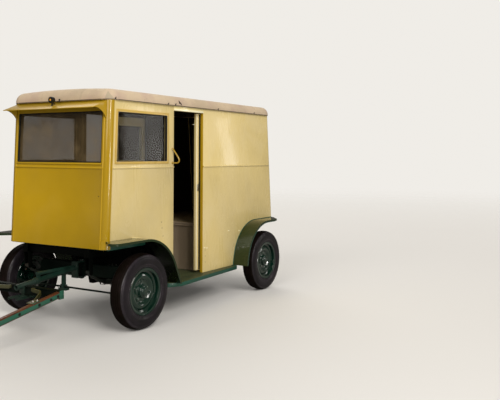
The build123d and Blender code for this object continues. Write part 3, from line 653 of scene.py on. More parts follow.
class WAGON_OT_finishes(bpy.types.Operator):
    """Mix the paints, wood, rubber, canvas and glass"""

    bl_idname = "wagon.finishes"
    bl_label = "Finishes"

    def execute(self, context):
        c = colours()
        soot = (0.03, 0.022, 0.014)
        straw, ochre = tuple(c.straw), tuple(c.ochre)
        finishes["straw"] = enamel("straw_enamel", straw, 0.25, 0.65, coat=0.45, low=-0.3, chalk=0.5)
        # the side paint with painted shade round the front corners, where it turns to a darker ochre
        finishes["corner"] = enamel(
            "corner_enamel_with_front_shade", straw, 0.25, 0.65, coat=0.45, low=-0.3, chalk=0.5, shaded_nose=[v * 0.8 for v in ochre]
        )
        # painted shade: the front's ochre is the sides' straw paint made deeper for the shade on the leaning front
        finishes["ochre"] = enamel("ochre_enamel", ochre, 0.34, 0.6, shine=0.25, coat=0.08, low=-0.3, chalk=0.1)
        # painted shade: the visor is in the front's deeper ochre, and its underside is painted a dark brown shade
        finishes["visor"] = enamel("visor_enamel_shaded", (0.44, 0.275, 0.014), 0.3, 0.6, shine=0.3, coat=0.1, chalk=0.1)
        finishes["shade"] = enamel("visor_painted_shade", (0.10, 0.045, 0.003), 0.5, 0.7, shine=0.15, coat=0.0, chalk=0.0)
        # a paler straw for trim, and a painted highlight where it stands for light: the doorway headers and the line
        # along the fender arches
        finishes["strip"] = enamel("pale_trim_with_highlight", (0.86, 0.72, 0.34), 0.2, 0.5, coat=0.5, low=-0.3, chalk=0.4)
        # painted highlight: a near-white cream for the belt beads, the header strips and the small side clips, for the
        # light they catch
        finishes["bright"] = enamel("highlight_cream", (0.98, 0.91, 0.62), 0.15, 0.3, coat=0.8, low=-0.3, chalk=0.4)
        # painted highlight: a pale cream for the sliding doors' leading edge
        finishes["cream"] = enamel("cream_edge_highlight", (0.86, 0.76, 0.52), 0.3, 0.5, coat=0.3, low=-0.1, chalk=0.3)
        finishes["green"] = enamel("wheel_enamel", tuple(c.green), 0.07, 0.4, soot, 1.0, 0.1, 0.4, 0.0)
        finishes["fender"] = enamel("fender_enamel", tuple(c.fender_green), 0.16, 0.8, soot, 0.5, 0.2, 0.25, 0.03)
        finishes["gear"] = enamel(
            "gear_enamel", tuple(c.gear_green), 0.4, 0.9, (0.012, 0.009, 0.005), 0.0, 0.1, 0.1, 0.02
        )
        finishes["tube"] = enamel(
            "drawbar_enamel", (0.006, 0.022, 0.015), 0.3, 0.9, (0.03, 0.028, 0.012), 0.15, 0.1, 0.3, 0.06
        )
        finishes["teal"] = enamel("teal_enamel", tuple(c.teal), 0.34, 0.8, (0.03, 0.022, 0.012), 0.2, 0.1, 0.3, 0.08)
        finishes["strap"] = enamel("strap_enamel", (0.017, 0.095, 0.058), 0.32, 0.8, soot, 0.3, 0.1, 0.3, 0.1)
        # painted shade: near black for the chassis and the floors' undersides, which stand in deep shade
        finishes["shadow"] = enamel("painted_shade_black", (0.0006, 0.0010, 0.0006), 0.5, 0.9, soot, 0.0, 0.1, 0.05, 0.0)
        finishes["frame"] = enamel("frame_enamel", (0.56, 0.37, 0.075), 0.27, 0.8, coat=0.3, low=-0.3, chalk=0.2)
        finishes["handle"] = enamel("handle_enamel", (0.36, 0.22, 0.012), 0.2, 0.5, coat=0.6, low=-0.3, chalk=0.1)
        finishes["groove"] = enamel("groove_ochre", (0.045, 0.025, 0.002), 0.5, 0.5, coat=0.0, low=-0.3, chalk=0.0)
        # painted shade: a darker canvas for the gathered folds at the roof's corners
        finishes["fold"] = enamel("canvas_fold_shade", (0.43, 0.355, 0.25), 0.7, 0.9, coat=0.0, low=-0.3, shine=0.2)
        finishes["worn"] = metal("nut_worn", (0.16, 0.2, 0.17), 0.22, 0.8, 0.2)
        finishes["olive"] = enamel("brace_olive", (0.046, 0.046, 0.010), 0.4, 0.9, soot, 0.1, 0.1, 0.3, 0.15)
        # painted shade: the inside faces of the walls and doors are painted near black for the dark inside
        finishes["inside"] = enamel("inside_painted_shade", (0.035, 0.022, 0.012), 0.6, 0.9, soot, 0.0, 0.4, 0.15, 0.03)
        finishes["riser"] = boards("riser_boards", (0.26, 0.20, 0.135), "Z", (0.34, 0.27, 0.19), 0.5)
        finishes["floor"] = boards("floor_boards", (0.048, 0.060, 0.024), "X", (0.12, 0.11, 0.055), 0.5)
        finishes["deck"] = boards("deck_boards", (0.20, 0.15, 0.08), "X", (0.33, 0.27, 0.18), 0.5, 0.12)
        finishes["canvas"] = canvas("roof_canvas", tuple(c.canvas))
        finishes["lining"] = boards("roof_lining", (0.10, 0.07, 0.04), "X", (0.14, 0.1, 0.06), 0.4, 0.09)
        finishes["rubber"] = rubber("tyre_rubber", tuple(c.rubber), 0.22, 0.3)
        # painted sheen: the sidewall's raised rings in a lighter rubber
        finishes["ring"] = rubber("tyre_ring_sheen", [v * 2.2 for v in c.rubber], 0.3, 0.25)
        finishes["tread"] = rubber("tyre_tread", (0.004, 0.0024, 0.0012), 0.06, 0.6)
        finishes["gasket"] = rubber("window_gasket", (0.012, 0.013, 0.010))
        finishes["wood"] = hardwood("shaft_wood", (0.12, 0.032, 0.010), (0.045, 0.012, 0.005))
        # painted shade: the windscreen glass is mostly covered by a dark brown tint, for the darkness seen through it
        finishes["screen"] = pane("windscreen_glass", (0.060, 0.040, 0.016), 0.68)
        finishes["glass"] = pane("window_glass", (0.018, 0.015, 0.011), 0.14)
        finishes["black"] = metal("black_iron", (0.006, 0.006, 0.006), 0.4, 0.2, 0.15)
        finishes["steel"] = metal("bare_steel", (0.45, 0.45, 0.43), 0.28, 1.0, 0.25)
        finishes["spring"] = metal("spring_steel", (0.006, 0.009, 0.006), 0.5, 0.2, 0.25)
        finishes["amber"] = enamel("lamp_lens", (0.72, 0.34, 0.03), 0.1, 0.1, soot, 0.8, 0.1)
        finishes["line"] = enamel("seam_line", (0.05, 0.032, 0.014), 0.6, 0.8, soot, 0.0, 0.1, 0.2, 0.1)
        return {"FINISHED"}


def inner(spot, normal):
    """The inside skin of an upright side."""
    return normal.y * spot.y < 0 and abs(normal.y) > 0.5


def rows(table):
    """Repeats each row of a table for the left and the right."""
    return [(f"{name}_{side}", *rest) for name, *rest in table for side, _ in SIDES]


def round_sill(bm):
    """Rounds the front corners of the sill block, so that they stand inside the body's own corners."""
    ends = [
        e for e in bm.edges
        if all(v.co.x > at(318, 0, 0).x and abs(v.co.y) > 0.640 for v in e.verts)
        and abs(e.verts[0].co.z - e.verts[1].co.z) > 0.02
    ]
    bevel(bm, ends, 22 * MM, 3)


class WAGON_OT_body(bpy.types.Operator):
    """Finish the body's walls, headers, floors and deck"""

    bl_idname = "wagon.body"
    bl_label = "Body"

    def execute(self, context):
        # the inner faces of the sides take the inside's painted shade
        sides = [("inside", inner)]
        front_sides = sides + [("frame", lambda s, n: abs(s.y) > 647 and s.z > 1530)]
        # front-facing faces of the rear sides, at the wall's end by the doorway, take the front's ochre as painted
        # shade
        rear_sides = sides + [("ochre", lambda s, n: n.x > 0.7 and s.x > -1200)]
        table = [
            # the front wall is in the front's ochre, a painted shade, and its inside faces in the inside's painted
            # shade
            ("front_wall", "ochre", "front_paint", 0.0015, [("inside", lambda s, n: n.x < -0.4 and s.x < 345)]),
            # the rear frame's inside faces take the inside's painted shade
            ("rear_frame", "straw", "body_paint", 0.0015, [("inside", lambda s, n: n.x > 0.4)]),
            # the headers are painted in the paler strip colour, a painted highlight
            ("door_headers", "strip", "body_paint", 0.001, sides),
            # the front floor's undersides and front faces take the painted shade
            ("front_floor", "riser", "floor_green", 0.0015, [
                ("floor", lambda s, n: n.z > 0.7), ("shadow", lambda s, n: n.z < -0.5 or s.x > -590 and n.z < 0.5),
                ("teal", lambda s, n: abs(s.y) > 628 or s.x > 320)]),
            ("well_floor", "floor", "floor_green", 0.0015, []),
            # the deck's undersides take the painted shade
            ("rear_deck", "riser", "deck_board", 0.0015, [
                ("deck", lambda s, n: n.z > 0.7), ("shadow", lambda s, n: n.z < -0.5)]),
        ]
        table += rows([
            ("side_front", "corner", "body_paint", 0.0015, front_sides),
            ("side_rear", "straw", "body_paint", 0.0015, rear_sides),
        ])
        for node, finish, slot, edge, zones in table:
            dress(node, finish, slot, edge, zones, shape=round_sill if node == "front_floor" else None)

        # pale beads along the belt, a painted highlight laid over the body's own bead, and the seams and feet of the
        # front corners
        bm = bmesh.new()
        for k in (1, -1):
            y = k * HALF_WIDTH
            add_bar(bm, [at(front_x(BELT_Z) - 58, y, BELT_Z), at(DOORWAY[1], y, BELT_Z)], 10.2, 2, 3)
            add_bar(bm, [at(DOORWAY[0], y, BELT_Z), at(-2645, y, BELT_Z)], 10.2, 2, 3)
        make_object("belt_bead_highlights", bm, "bright", "body", "body_paint")
        # bright strips along the doorways' headers, a painted highlight
        bm = bmesh.new()
        for k in (1, -1):
            add_strip(bm, [at(x, k * HALF_WIDTH, HEADER_Z) for x in DOORWAY], by(0, 0, 20), by(0, k * 5, 0), 1.5)
        make_object("header_mould_highlights", bm, "bright", "body", "body_paint")
        bm = bmesh.new()
        for k in (1, -1):
            for y, out, r in ((585.5, 0.0, 5.0), (606, -3.6, 4.4)):
                add_bar(bm, [at(front_x(z) + out, k * y, z) for z in (775, 2104)], r, 2, 1)
        make_object("corner_seams", bm, "groove", "body", "front_paint")
        bm = bmesh.new()
        for k in (1, -1):
            bend = [(297 + 60 * cos(radians(t)), 585 + 60 * sin(radians(t))) for t in range(0, 91, 9)]
            add_sheet(bm, [at(x + 3, k * y, 770) for x, y in bend], by(-3.3, 0, 78), 3)
        make_object("corner_feet", bm, "corner", "body", "front_paint")
        bm = bmesh.new()
        add_strip(bm, [at(-1236, -562, 866), at(-1236, 562, 866)], by(0, 0, 16), by(7, 0, 0), 2)
        make_object("deck_nosing", bm, "riser", "body", "deck_board")
        return {"FINISHED"}


class WAGON_OT_roof(bpy.types.Operator):
    """Finish the canvas roof with its eave line, corner folds and hooks"""

    bl_idname = "wagon.roof"
    bl_label = "Roof"

    def execute(self, context):
        dress("roof", "canvas", "roof_canvas", 0.0, [("lining", lambda s, n: n.z < -0.05 and abs(s.y) < 650)], 40)
        low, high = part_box("roof")
        bm, folds = bmesh.new(), bmesh.new()
        out = by(1.2, 1.2, 0)
        corners = [(low.x, low.y), (high.x, low.y), (high.x, high.y), (low.x, high.y)]
        signs = [(-1, -1), (1, -1), (1, 1), (-1, 1)]
        ring = [Vector((x + out.x * i, y + out.y * j, low.z + 2 * MM)) for (x, y), (i, j) in zip(corners, signs)]
        add_rim(bm, ring, 120, 4, by(0, 0, 4.8))
        on_skin = skin_finder("roof")
        # the folds where the canvas is gathered at each corner, painted darker as their shade: foot, top and foot of a
        # narrow triangle
        for x_of in (lambda x: x, lambda x: -2358 - x):
            for k in (1, -1):
                spots = [(322, 590, 2152), (262, 588, 2222), (262, 655, 2152)]
                line = [at(x_of(x), k * y, z) for x, y, z in spots]
                add_patch(folds, line, on_skin)
        make_object("roof_seams", bm, "line", "body", "roof_canvas")
        make_object("roof_fold_shades", folds, "fold", "body", "roof_canvas")

        bm = bmesh.new()
        for k in (1, -1):
            hook = [(-712, 664, 2201), (-722, 668, 2186), (-738, 670, 2172), (-756, 668, 2158)]
            add_bar(bm, [on_skin(at(x, k * y, z), 4) for x, y, z in hook], 4)
            for x in (-722, -745):
                add_rivet(bm, on_skin(at(x, k * 664, 2175), 1), (0, k, 0), 8)
            for x in (268, -532, -654, -1450, -2250):
                spot = on_skin(at(x, k * 664, 2155), 0)
                add_rivet(bm, spot, (0, k, 0), 8)
                add_bar(bm, [spot, spot + by(0, k * 9, 0), spot + by(0, k * 9, 12)], 3)
        make_object("roof_hooks", bm, "black", "body", "roof_canvas")
        return {"FINISHED"}


class WAGON_OT_visor(bpy.types.Operator):
    """Finish the visor over the windscreen, with its rolled edge, and the marker lamp"""

    bl_idname = "wagon.visor"
    bl_label = "Visor and lamp"

    def execute(self, context):
        # the visor's downward faces take the painted shade
        dress("visor", "visor", "body_paint", 0.0012, [("shade", lambda s, n: n.z < -0.3)])
        bm = bmesh.new()
        add_bar(bm, [at(473, -590, 2064), at(473, 590, 2064)], 4.5, 2)
        make_object("visor_edge", bm, "strip", "body", "body_paint")

        dress("marker_lamp", "black", "lamp_black", 0.001)
        bm = bmesh.new()
        middle = at(422, 0, 2152)
        add_spun(bm, [(-34, 29), (-30, 30.5), (-4, 30.5), (-1, 29), (-1, 22), (-6, 22), (-6, 26), (-34, 26)], middle,
                 (1, 0, 0), 48)
        add_box(bm, at(372, -16, 2113), at(378, 16, 2122), 1)
        add_bar(bm, [at(352, 46, 2137), at(352, 46, 2150), at(352, 49, 2160)], 7, 3, 3)
        add_disc(bm, at(352, 49, 2158), (0, 0, 1), 9, 6, 16)
        make_object("marker_lamp_rim", bm, "black", "body", "lamp_black")
        bm = bmesh.new()
        add_spun(bm, [(-6, 0), (1.5, 0), (0.5, 8), (-1.5, 16), (-5, 21.8), (-6, 21.8)], middle, (1, 0, 0), 40, 0, False)
        make_object("marker_lamp_lens", bm, "amber", "body", "lamp_black")
        return {"FINISHED"}


class WAGON_OT_windows(bpy.types.Operator):
    """Glaze the windscreen and side windows and seat each pane in its gasket"""

    bl_idname = "wagon.windows"
    bl_label = "Windows"

    def execute(self, context):
        for node in ("windscreen_glass", "side_glass", "door_glass_left", "door_glass_right"):
            frame["nodes"][node].data.materials.clear()
            # the windscreen takes the dark tinted glass of painted shade
            frame["nodes"][node].data.materials.append(finishes["screen" if "wind" in node else "glass"])
        width = sizes().gasket / MM
        z0, z1 = SCREEN_Z

        def on_front(y, z, out):
            return at(front_x(z) + out, y, z)

        bm = bmesh.new()
        ring = [on_front(y, z, -17) for y, z in ((-560, z0), (560, z0), (560, z1), (-560, z1))]
        add_rim(bm, ring, 14, width * 1.3, by(19, 0, 0), 1.5)
        for k in (1, -1):
            foot, head = WINDOW_Z
            ring = [at(x, k * 624, z) for x, z in
                    ((front_x(foot) - 105, foot), (front_x(head) - 105, head), (-540, head), (-540, foot))]
            add_rim(bm, ring, 14, width, by(0, k * 22, 0), 1.2)
        make_object("window_gaskets", bm, "gasket", "body", "lamp_black")

        bm = bmesh.new()
        # the windscreen's sill and side strips are in the front's ochre, a painted shade
        add_strip(bm, [on_front(-566, 1545, 0), on_front(566, 1545, 0)], by(0, 0, 14), by(11, 0, 0), 2)
        for y in (-566, 558):
            add_strip(bm, [on_front(y, 1560, 0), on_front(y, 2045, 0)], by(0, 8, 0), by(4, 0, 0), 1)
        make_object("windscreen_sill", bm, "ochre", "body", "front_paint")
        for side, k in SIDES:
            bm = bmesh.new()
            for y, lift in ((603, 2), (575, -2)):
                ring = [at(x, k * y, z) for x, z in ((-1180, 1573), (-1180, 1985), (-1600, 1985), (-1600, 1573))]
                add_rim(bm, ring, 20, 9, by(0, k * lift, 0), 0.5)
            make_object(f"door_gasket_{side}", bm, "gasket", f"door_{side}", "lamp_black")
        return {"FINISHED"}


class WAGON_OT_doors(bpy.types.Operator):
    """Finish the sliding doors and the rear doors, with their strips, catches and hinge screws"""

    bl_idname = "wagon.doors"
    bl_label = "Doors"

    def execute(self, context):
        for node, *rest in rows([
            ("door", "straw", "body_paint", 0.0015, [("black", lambda s, n: s.z > 2090)]),
            # the rear doors' inner faces take the inside's painted shade
            ("rear_door", "straw", "body_paint", 0.0015, [("inside", lambda s, n: n.x > 0.5)]),
        ]):
            dress(node, *rest)
        for side, k in SIDES:
            # a pale strip down the leaf's leading edge, a painted highlight of that edge
            bm = bmesh.new()
            add_strip(bm, [at(-1126, k * 602, z) for z in (384, 2084)], by(16, 0, 0), by(0, k * 3, 0), 1)
            make_object(f"door_edge_{side}", bm, "cream", f"door_{side}", "body_paint")
            # a dark band on the leaf beside the wall's end, made with the gasket rubber
            bm = bmesh.new()
            add_strip(bm, [at(-1182, k * 602.5, z) for z in (384, 2084)], by(26, 0, 0), by(0, k * 2.5, 0), 0.8)
            make_object(f"door_seal_{side}", bm, "gasket", f"door_{side}", "body_paint")
            bm = bmesh.new()
            y0, y1 = sorted((k * 603, k * 607))
            add_box(bm, at(-1152, y0, 1246), at(-1130, y1, 1320), 1)
            for z in (1254, 1312):
                add_rivet(bm, at(-1141, k * 607, z), (0, k, 0), 3.5)
            make_object(f"door_catch_{side}", bm, "steel", f"door_{side}", "lamp_black")

            # hinge screws of the rear doors, along the leaning back
            bm = bmesh.new()
            for z in (1010, 1480, 1930):
                for y in (380, 440, 500):
                    x = -2770 + 120 * (z - 770) / 1373 - 5
                    add_rivet(bm, at(x, k * y, z - 11 + 22 * (y == 440)), (-1, 0, 0.087), 5)
            make_object(f"rear_door_screws_{side}", bm, "strip", f"rear_door_{side}", "body_paint")
        return {"FINISHED"}


def fender_line(r, foot_z, start_x, turn, y, mirrored=False, step=6):
    """Points along a fender's side: level ahead of the axle, round the arch and down its tail."""
    top = HUB_Z + r
    points = [(start_x, top)] + [(-r * sin(radians(t)), HUB_Z + r * cos(radians(t))) for t in range(0, turn, step)]
    end = (-r * sin(radians(turn)), HUB_Z + r * cos(radians(turn)))
    way = (-cos(radians(turn)), -sin(radians(turn)))
    points += [end, (end[0] + way[0] * (foot_z - end[1]) / way[1], foot_z)]
    return [at(REAR_AXLE - x if mirrored else x, y, z) for x, z in points]


class WAGON_OT_fenders(bpy.types.Operator):
    """Finish the fenders and steps, with the teal bead along the body and the steps' edging"""

    bl_idname = "wagon.fenders"
    bl_label = "Fenders and steps"

    def execute(self, context):
        dress("fenders_front", "fender", "fender_paint", 0.0, [], 40)
        dress("fenders_rear", "fender", "fender_paint", 0.0, [], 40)
        dress("steps", "teal", "fender_paint", 0.002, [("floor", lambda s, n: n.z > 0.7)])
        bm = bmesh.new()
        arches = []
        for k in (1, -1):
            y = k * (HALF_WIDTH + 3)
            line = fender_line(492, 352, 300, 65, y)
            add_bar(bm, line[:2], 4.5, 2)
            arches.append(line[1:])
            add_bar(bm, fender_line(492, 352, 418, 80, y, True), 4.5, 2)
            add_bar(bm, fender_line(466, 352, 360, 65, k * 838.5)[:2], 3.2, 2)
            add_bar(bm, fender_line(466, 352, 180, 80, k * 838.5, True), 3.2, 2)
        make_object("fender_beads", bm, "teal", "body", "fender_paint")
        # a pale line along the body round each arch: a painted highlight where the body's edge catches the light
        bm = bmesh.new()
        for line in arches:
            add_bar(bm, line, 3.5, 2)
        make_object("arch_highlight_lines", bm, "strip", "body", "body_paint")

        bm = bmesh.new()
        for k in (1, -1):
            y0, y1 = sorted((k * 648, k * 712))
            add_box(bm, at(-1783, y0, 350), at(-1768, y1, 356), 1)
            for x in (-620, -860, -1100, -1340, -1580):
                for y in (664, 700):
                    add_rivet(bm, at(x, k * y, 350.5), (0, 0, 1), 7)
        make_object("step_trim", bm, "teal", "body", "fender_paint")
        return {"FINISHED"}


class WAGON_OT_gear(bpy.types.Operator):
    """Finish the chassis, axles, springs and steering, with clips, nuts and pins"""

    bl_idname = "wagon.gear"
    bl_label = "Running gear"

    def execute(self, context):
        table = [
            # the chassis rails and crossmembers are painted near black as the shade under the body
            ("chassis_rails", "shadow", "chassis_paint", 0.0015, []),
            ("chassis_crossmembers", "shadow", "chassis_paint", 0.0015, []),
            ("leaf_springs", "spring", "spring_steel", 0.0, []),
            ("axle_front", "gear", "chassis_paint", 0.0015, []),
            ("axle_rear", "gear", "chassis_paint", 0.0015, []),
        ]
        table += rows([
            ("knuckle", "gear", "chassis_paint", 0.001, []), ("tie_rod", "gear", "chassis_paint", 0.001, [])
        ])
        for node, *rest in table:
            dress(node, *rest)

        # U-bolts over each spring, with their nuts, and a clip round the leaves at each side
        bm = bmesh.new()
        for k in (1, -1):
            near, far = k * (SPRING_Y - 25), k * (SPRING_Y + 25)
            # each axle: its place, the U-bolts' top and foot, the nuts
            for axle_x, top, foot, nut in ((0, 572, 382, 566), (REAR_AXLE, 452, 318, 444)):
                for x in (axle_x - 24, axle_x + 24):
                    add_bar(bm, [at(x, near, top), at(x, near, foot), at(x, far, foot), at(x, far, top)], 5, 2)
                    for y in (near, far):
                        add_bolt(bm, at(x, y, nut), (0, 0, 1), 8, 7)
            near, far = k * (SPRING_Y - 28), k * (SPRING_Y + 28)
            for axle_x, foot in ((0, 403), (REAR_AXLE, 402)):
                for x in (axle_x - 144, axle_x + 126):
                    ring = [at(x, near, foot), at(x, far, foot), at(x, far, foot + 52), at(x, near, foot + 52)]
                    add_rim(bm, ring, 0, 3, by(18, 0, 0), 0.5)
            # shackle pin heads
            for x in (-320, 320):
                for axle_x, z in ((0, 503), (REAR_AXLE, 542)):
                    add_disc(bm, at(axle_x + x, k * 439, z), (0, k, 0), 13, 4, 6)
        make_object("spring_clips", bm, "spring", "body", "spring_steel")
        return {"FINISHED"}


# Sidewall of a tyre, from the tread's edge to the bead: share of the half width, depth below the tread in mm
SIDEWALL = [
    (0.735, 12.5), (0.77, 13.2), (0.80, 15.0), (0.815, 19.0), (0.835, 20.0), (0.85, 24.5), (0.875, 25.5),
    (0.895, 30.5), (0.93, 34.0), (0.962, 43.0), (0.985, 54.0), (0.998, 66.0), (1.0, 76.0), (0.992, 88.0),
    (0.975, 99.0), (0.968, 101.5), (0.978, 103.5), (0.972, 106.5), (0.955, 108.0), (0.935, 114.0), (0.905, 120.0),
    (0.895, 121.0), (0.902, 123.5), (0.885, 127.0), (0.855, 129.5), (0.815, 131.5), (0.785, 133.5), (0.772, 137.0),
    (0.772, 152.0), (0.60, 152.0), (0.72, 100.0), (0.62, 34.0),
]


# Depths of the sidewall's raised rings, which are painted lighter as their sheen
SHEEN_RINGS = [(15, 21), (25, 31), (99, 108), (120, 128)]


def tyre_section(ribs, groove):
    """A closed section in millimetres: ribs and grooves across the tread, then both sidewalls."""
    r, half = TYRE_R / MM, TYRE_HALF / MM
    edge = 0.70 * half
    pitch = 2 * edge / ribs
    cut = 2.2
    points = []
    for i in range(ribs):
        y0 = -edge + i * pitch
        stops = (y0 + cut, y0 + pitch / 2, y0 + pitch - cut)
        points += [(y, r - 11 * (abs(y) / edge) ** 2.2) for y in stops]
        if i < ribs - 1:
            y1 = y0 + pitch
            floor = r - 11 * (abs(y1) / edge) ** 2.2 - groove / MM
            points += [(y1 - cut * 0.6, floor), (y1 + cut * 0.6, floor)]
    wall = [(share * half, r - depth) for share, depth in SIDEWALL]
    return points + wall + [(-y, z) for y, z in reversed(wall)]


class WAGON_OT_tyres(bpy.types.Operator):
    """Spin the ribbed tyres, with their sidewall rings"""

    bl_idname = "wagon.tyres"
    bl_label = "Tyres"

    def execute(self, context):
        s = sizes()
        section = tyre_section(s.tread_ribs, s.groove)
        for end in ENDS:
            for side, _ in SIDES:
                node = f"tyre_{end}_{side}"
                bm = bmesh.new()
                middle = centre(node)
                add_spun(bm, section, middle, steps=128)
                for face in bm.faces:
                    spot = face.calc_center_median() - middle
                    share, depth = abs(spot.y) / TYRE_HALF, (TYRE_R - Vector((spot.x, 0, spot.z)).length) / MM
                    face.material_index = 2 if share < 0.74 else int(any(a < depth < b for a, b in SHEEN_RINGS))
                skins = ("rubber", "ring", "tread")
                make_object(f"{node}_ribbed", bm, skins, f"wheel_{end}_{side}", "tyre", 42, (node,))
        return {"FINISHED"}


# Half of the rim's section, the disc's outer and inner faces and the hub: reach from the wheel's middle, radius
RIM = [
    (24, 185), (32, 203), (61, 203), (62.5, 216), (64.5, 221), (67, 222), (69, 220), (69, 217), (66.5, 212),
    (66, 199), (30, 197), (22, 179),
]
DISC = [
    (14, 179), (30, 168), (35, 160), (39.5, 145), (40, 138), (37, 126), (30, 114), (17, 105), (14, 98), (14, 72),
    (17, 63), (30, 56), (44, 54), (48, 49), (50, 42), (50, 0), (-30, 0), (-30, 48), (6, 48), (6, 108), (26, 122),
    (32, 140), (26, 162), (6, 179),
]
CAP = [(48, 0), (48, 40), (52, 40), (56, 37), (58, 33), (64, 30), (66, 24), (66, 0)]
HUB = [(-80, 34), (-20, 34), (-20, 20.2), (-80, 20.2)]
DRUM = [(-93, 128), (2, 128), (6, 124), (6, 118), (-93, 118)]


class WAGON_OT_wheels(bpy.types.Operator):
    """Spin the pressed steel wheels, with their lug nuts and hub caps"""

    bl_idname = "wagon.wheels"
    bl_label = "Wheels"

    def execute(self, context):
        for end in ENDS:
            for side, k in SIDES:
                node = f"wheel_{end}_{side}"
                middle = centre(f"tyre_{end}_{side}")
                out = Vector((0, k, 0))
                bm, nuts = bmesh.new(), bmesh.new()
                add_spun(bm, RIM + [(-y, r) for y, r in reversed(RIM)], middle, out, 112)
                add_spun(bm, DISC, middle, out, 96, 1.6, False)
                add_spun(bm, CAP, middle, out, 64, 0.8, False)
                add_spun(bm, HUB, middle, out, 48)
                if end == "rear":
                    add_spun(bm, DRUM, middle, out, 80)
                for i in range(5):
                    turn = radians(90 + 72 * i)
                    spot = middle + Vector((cos(turn), 0, sin(turn))) * (83 * MM) + out * (13 * MM)
                    add_disc(bm, spot, out, 16, 3, 24, 0.9)
                    add_disc(nuts, spot + out * (2 * MM), out, 12, 12, 6, 0.92, 0.2)
                    add_disc(nuts, spot + out * (13 * MM), out, 7.5, 5, 16, 0.7, 0.3)
                make_object(f"{node}_pressed", bm, "green", node, "wheel_paint", 36, (node,))
                make_object(f"{node}_nuts", nuts, "worn", node, "wheel_paint")
        return {"FINISHED"}


def pole_z(x):
    """Height of a shaft's middle line, in millimetres."""
    return 412 - 0.18326 * (x - 745)


class WAGON_OT_shafts(bpy.types.Operator):
    """Finish the drawbar and the shafts, with the straps' and braces' bolts"""

    bl_idname = "wagon.shafts"
    bl_label = "Drawbar and shafts"

    def execute(self, context):
        dress("drawbar", "tube", "chassis_paint", 0.001)
        dress("shaft_gear", "gear", "chassis_paint", 0.001, [
            ("strap", lambda s, n: abs(s.y) > 471.5), ("olive", lambda s, n: s.x > 747 and abs(s.y) < 471.5)])
        dress("shaft_poles", "wood", "shaft_wood", 0.002)
        bm = bmesh.new()
        for k in (1, -1):
            for x, z in ((768, 406), (847, 391), (976, 370), (1185, 332), (1420, 288)):
                add_bolt(bm, at(x, k * 477, z), (0, k, 0), 9, 6)
            for x in (1420, 1185, 976):
                add_bolt(bm, at(x, k * 428, pole_z(x)), (0, -k, 0), 9, 6)
        make_object("strap_bolts", bm, "black", "shafts", "chassis_paint")
        bm = bmesh.new()
        for k in (1, -1):
            add_bolt(bm, at(1014, k * 441, pole_z(1014) + 36.5), (0.18, 0, 1), 9, 7)
            add_bolt(bm, at(982, k * 456, pole_z(982) + 36.5), (0.18, 0, 1), 8, 6)
            add_bolt(bm, at(757, k * 154, 428), (1, 0, 0), 8, 7)
        make_object("brace_bolts", bm, "steel", "shafts", "chassis_paint")
        bm = bmesh.new()
        for y, way in ((12, 1), (-12, -1)):
            add_bolt(bm, at(583, y, 430), (0, way, 0), 9, 8)
            add_bolt(bm, at(583, y, 449), (0, way, 0), 6, 5)
        make_object("collar_bolts", bm, "steel", "drawbar", "chassis_paint")
        return {"FINISHED"}


class WAGON_OT_fittings(bpy.types.Operator):
    """Bend the grab handles and set the small nails and screws of the sides"""

    bl_idname = "wagon.fittings"
    bl_label = "Handles and nails"

    def execute(self, context):
        bm = bmesh.new()
        x = -628
        for k in (1, -1):
            loop = [(645, 1701), (660, 1690), (688, 1654), (716, 1618), (734, 1590), (728, 1564), (706, 1555),
                    (680, 1555), (645, 1556)]
            add_bar(bm, [at(x, k * y, z) for y, z in loop], 7.5, 3, 4)
            for z in (1698, 1556):
                add_disc(bm, at(x, k * 645, z), (0, k, 0), 14, 5, 28, 0.8, 0.1)
                for dx, dz in ((9, 0), (-9, 0)):
                    add_rivet(bm, at(x + dx, k * 649.6, z + dz), (0, k, 0), 2.5)
        make_object("grab_handles_bent", bm, "handle", "body", "body_paint", 40, ("grab_handles",))

        bm = bmesh.new()
        for k in (1, -1):
            for x, z in ((-453, 962), (-462, 901), (-479, 819), (-479, 728), (-1231, 591), (-1231, 525), (-1231, 459)):
                add_rivet(bm, at(x, k * 645, z), (0, k, 0), 4.5)
        add_rivet(bm, at(front_x(1255), 540, 1255), (1, 0, 0.04), 5)
        make_object("panel_nails", bm, "black", "body", "body_paint")
        # small bright clips on the sides that stand for glints: painted highlights
        bm = bmesh.new()
        for k in (1, -1):
            for x, z in ((-1711, 762), (-1943, 741), (-1217, 618), (-1266, 610)):
                add_box(bm, at(x - 14, k * 646 - 2, z - 4), at(x + 14, k * 646 + 2, z + 4), 1)
        make_object("panel_clip_glints", bm, "bright", "body", "body_paint")
        return {"FINISHED"}


# The camera that was worked out from the wagon's known sizes in the photograph, from the front axle
CAMERA_AT = Vector((5.0413, 4.9501, 1.6348))
CAMERA_TURN = (radians(210.78), radians(-0.08), radians(0.283))
CAMERA_LENS = 49.57
CAMERA_SHIFT_Y = -0.0869
BACKDROP = (0.73, 0.72, 0.705, 1)
BACKDROP_DIM = (0.26, 0.25, 0.23, 1)
SKY = (0.87, 0.845, 0.80, 1)
SKY_GLOSS = (0.11, 0.102, 0.09, 1)
DAYLIGHT = (1.0, 0.97, 0.92)
DAYLIGHT_STRENGTH = 0.46
LAMP_COLOUR = (1.0, 0.96, 0.9)
PANEL_SPREAD = radians(80)

# Each soft lamp: name, direction that it shines from, share of the main lamp, angle
LAMPS = [
    ("key", (0.55, 1.0, 0.95), 0.76, 24),
    ("glint", (0.75, 1.0, 0.6), 0.24, 5),
    ("front", (1.0, 0.05, 0.55), 0.5, 35),
    ("back", (-0.8, -0.75, 0.9), 0.45, 40),
]

# Tall soft panels that the enamel mirrors: name, place, width, height, power
PANELS = [
    ("panel_corner", (2.2, 8.0, 1.7), 0.35, 3.2, 34),
    ("panel_rear", (-7.6, 6.5, 2.8), 1.2, 3.0, 9),
]


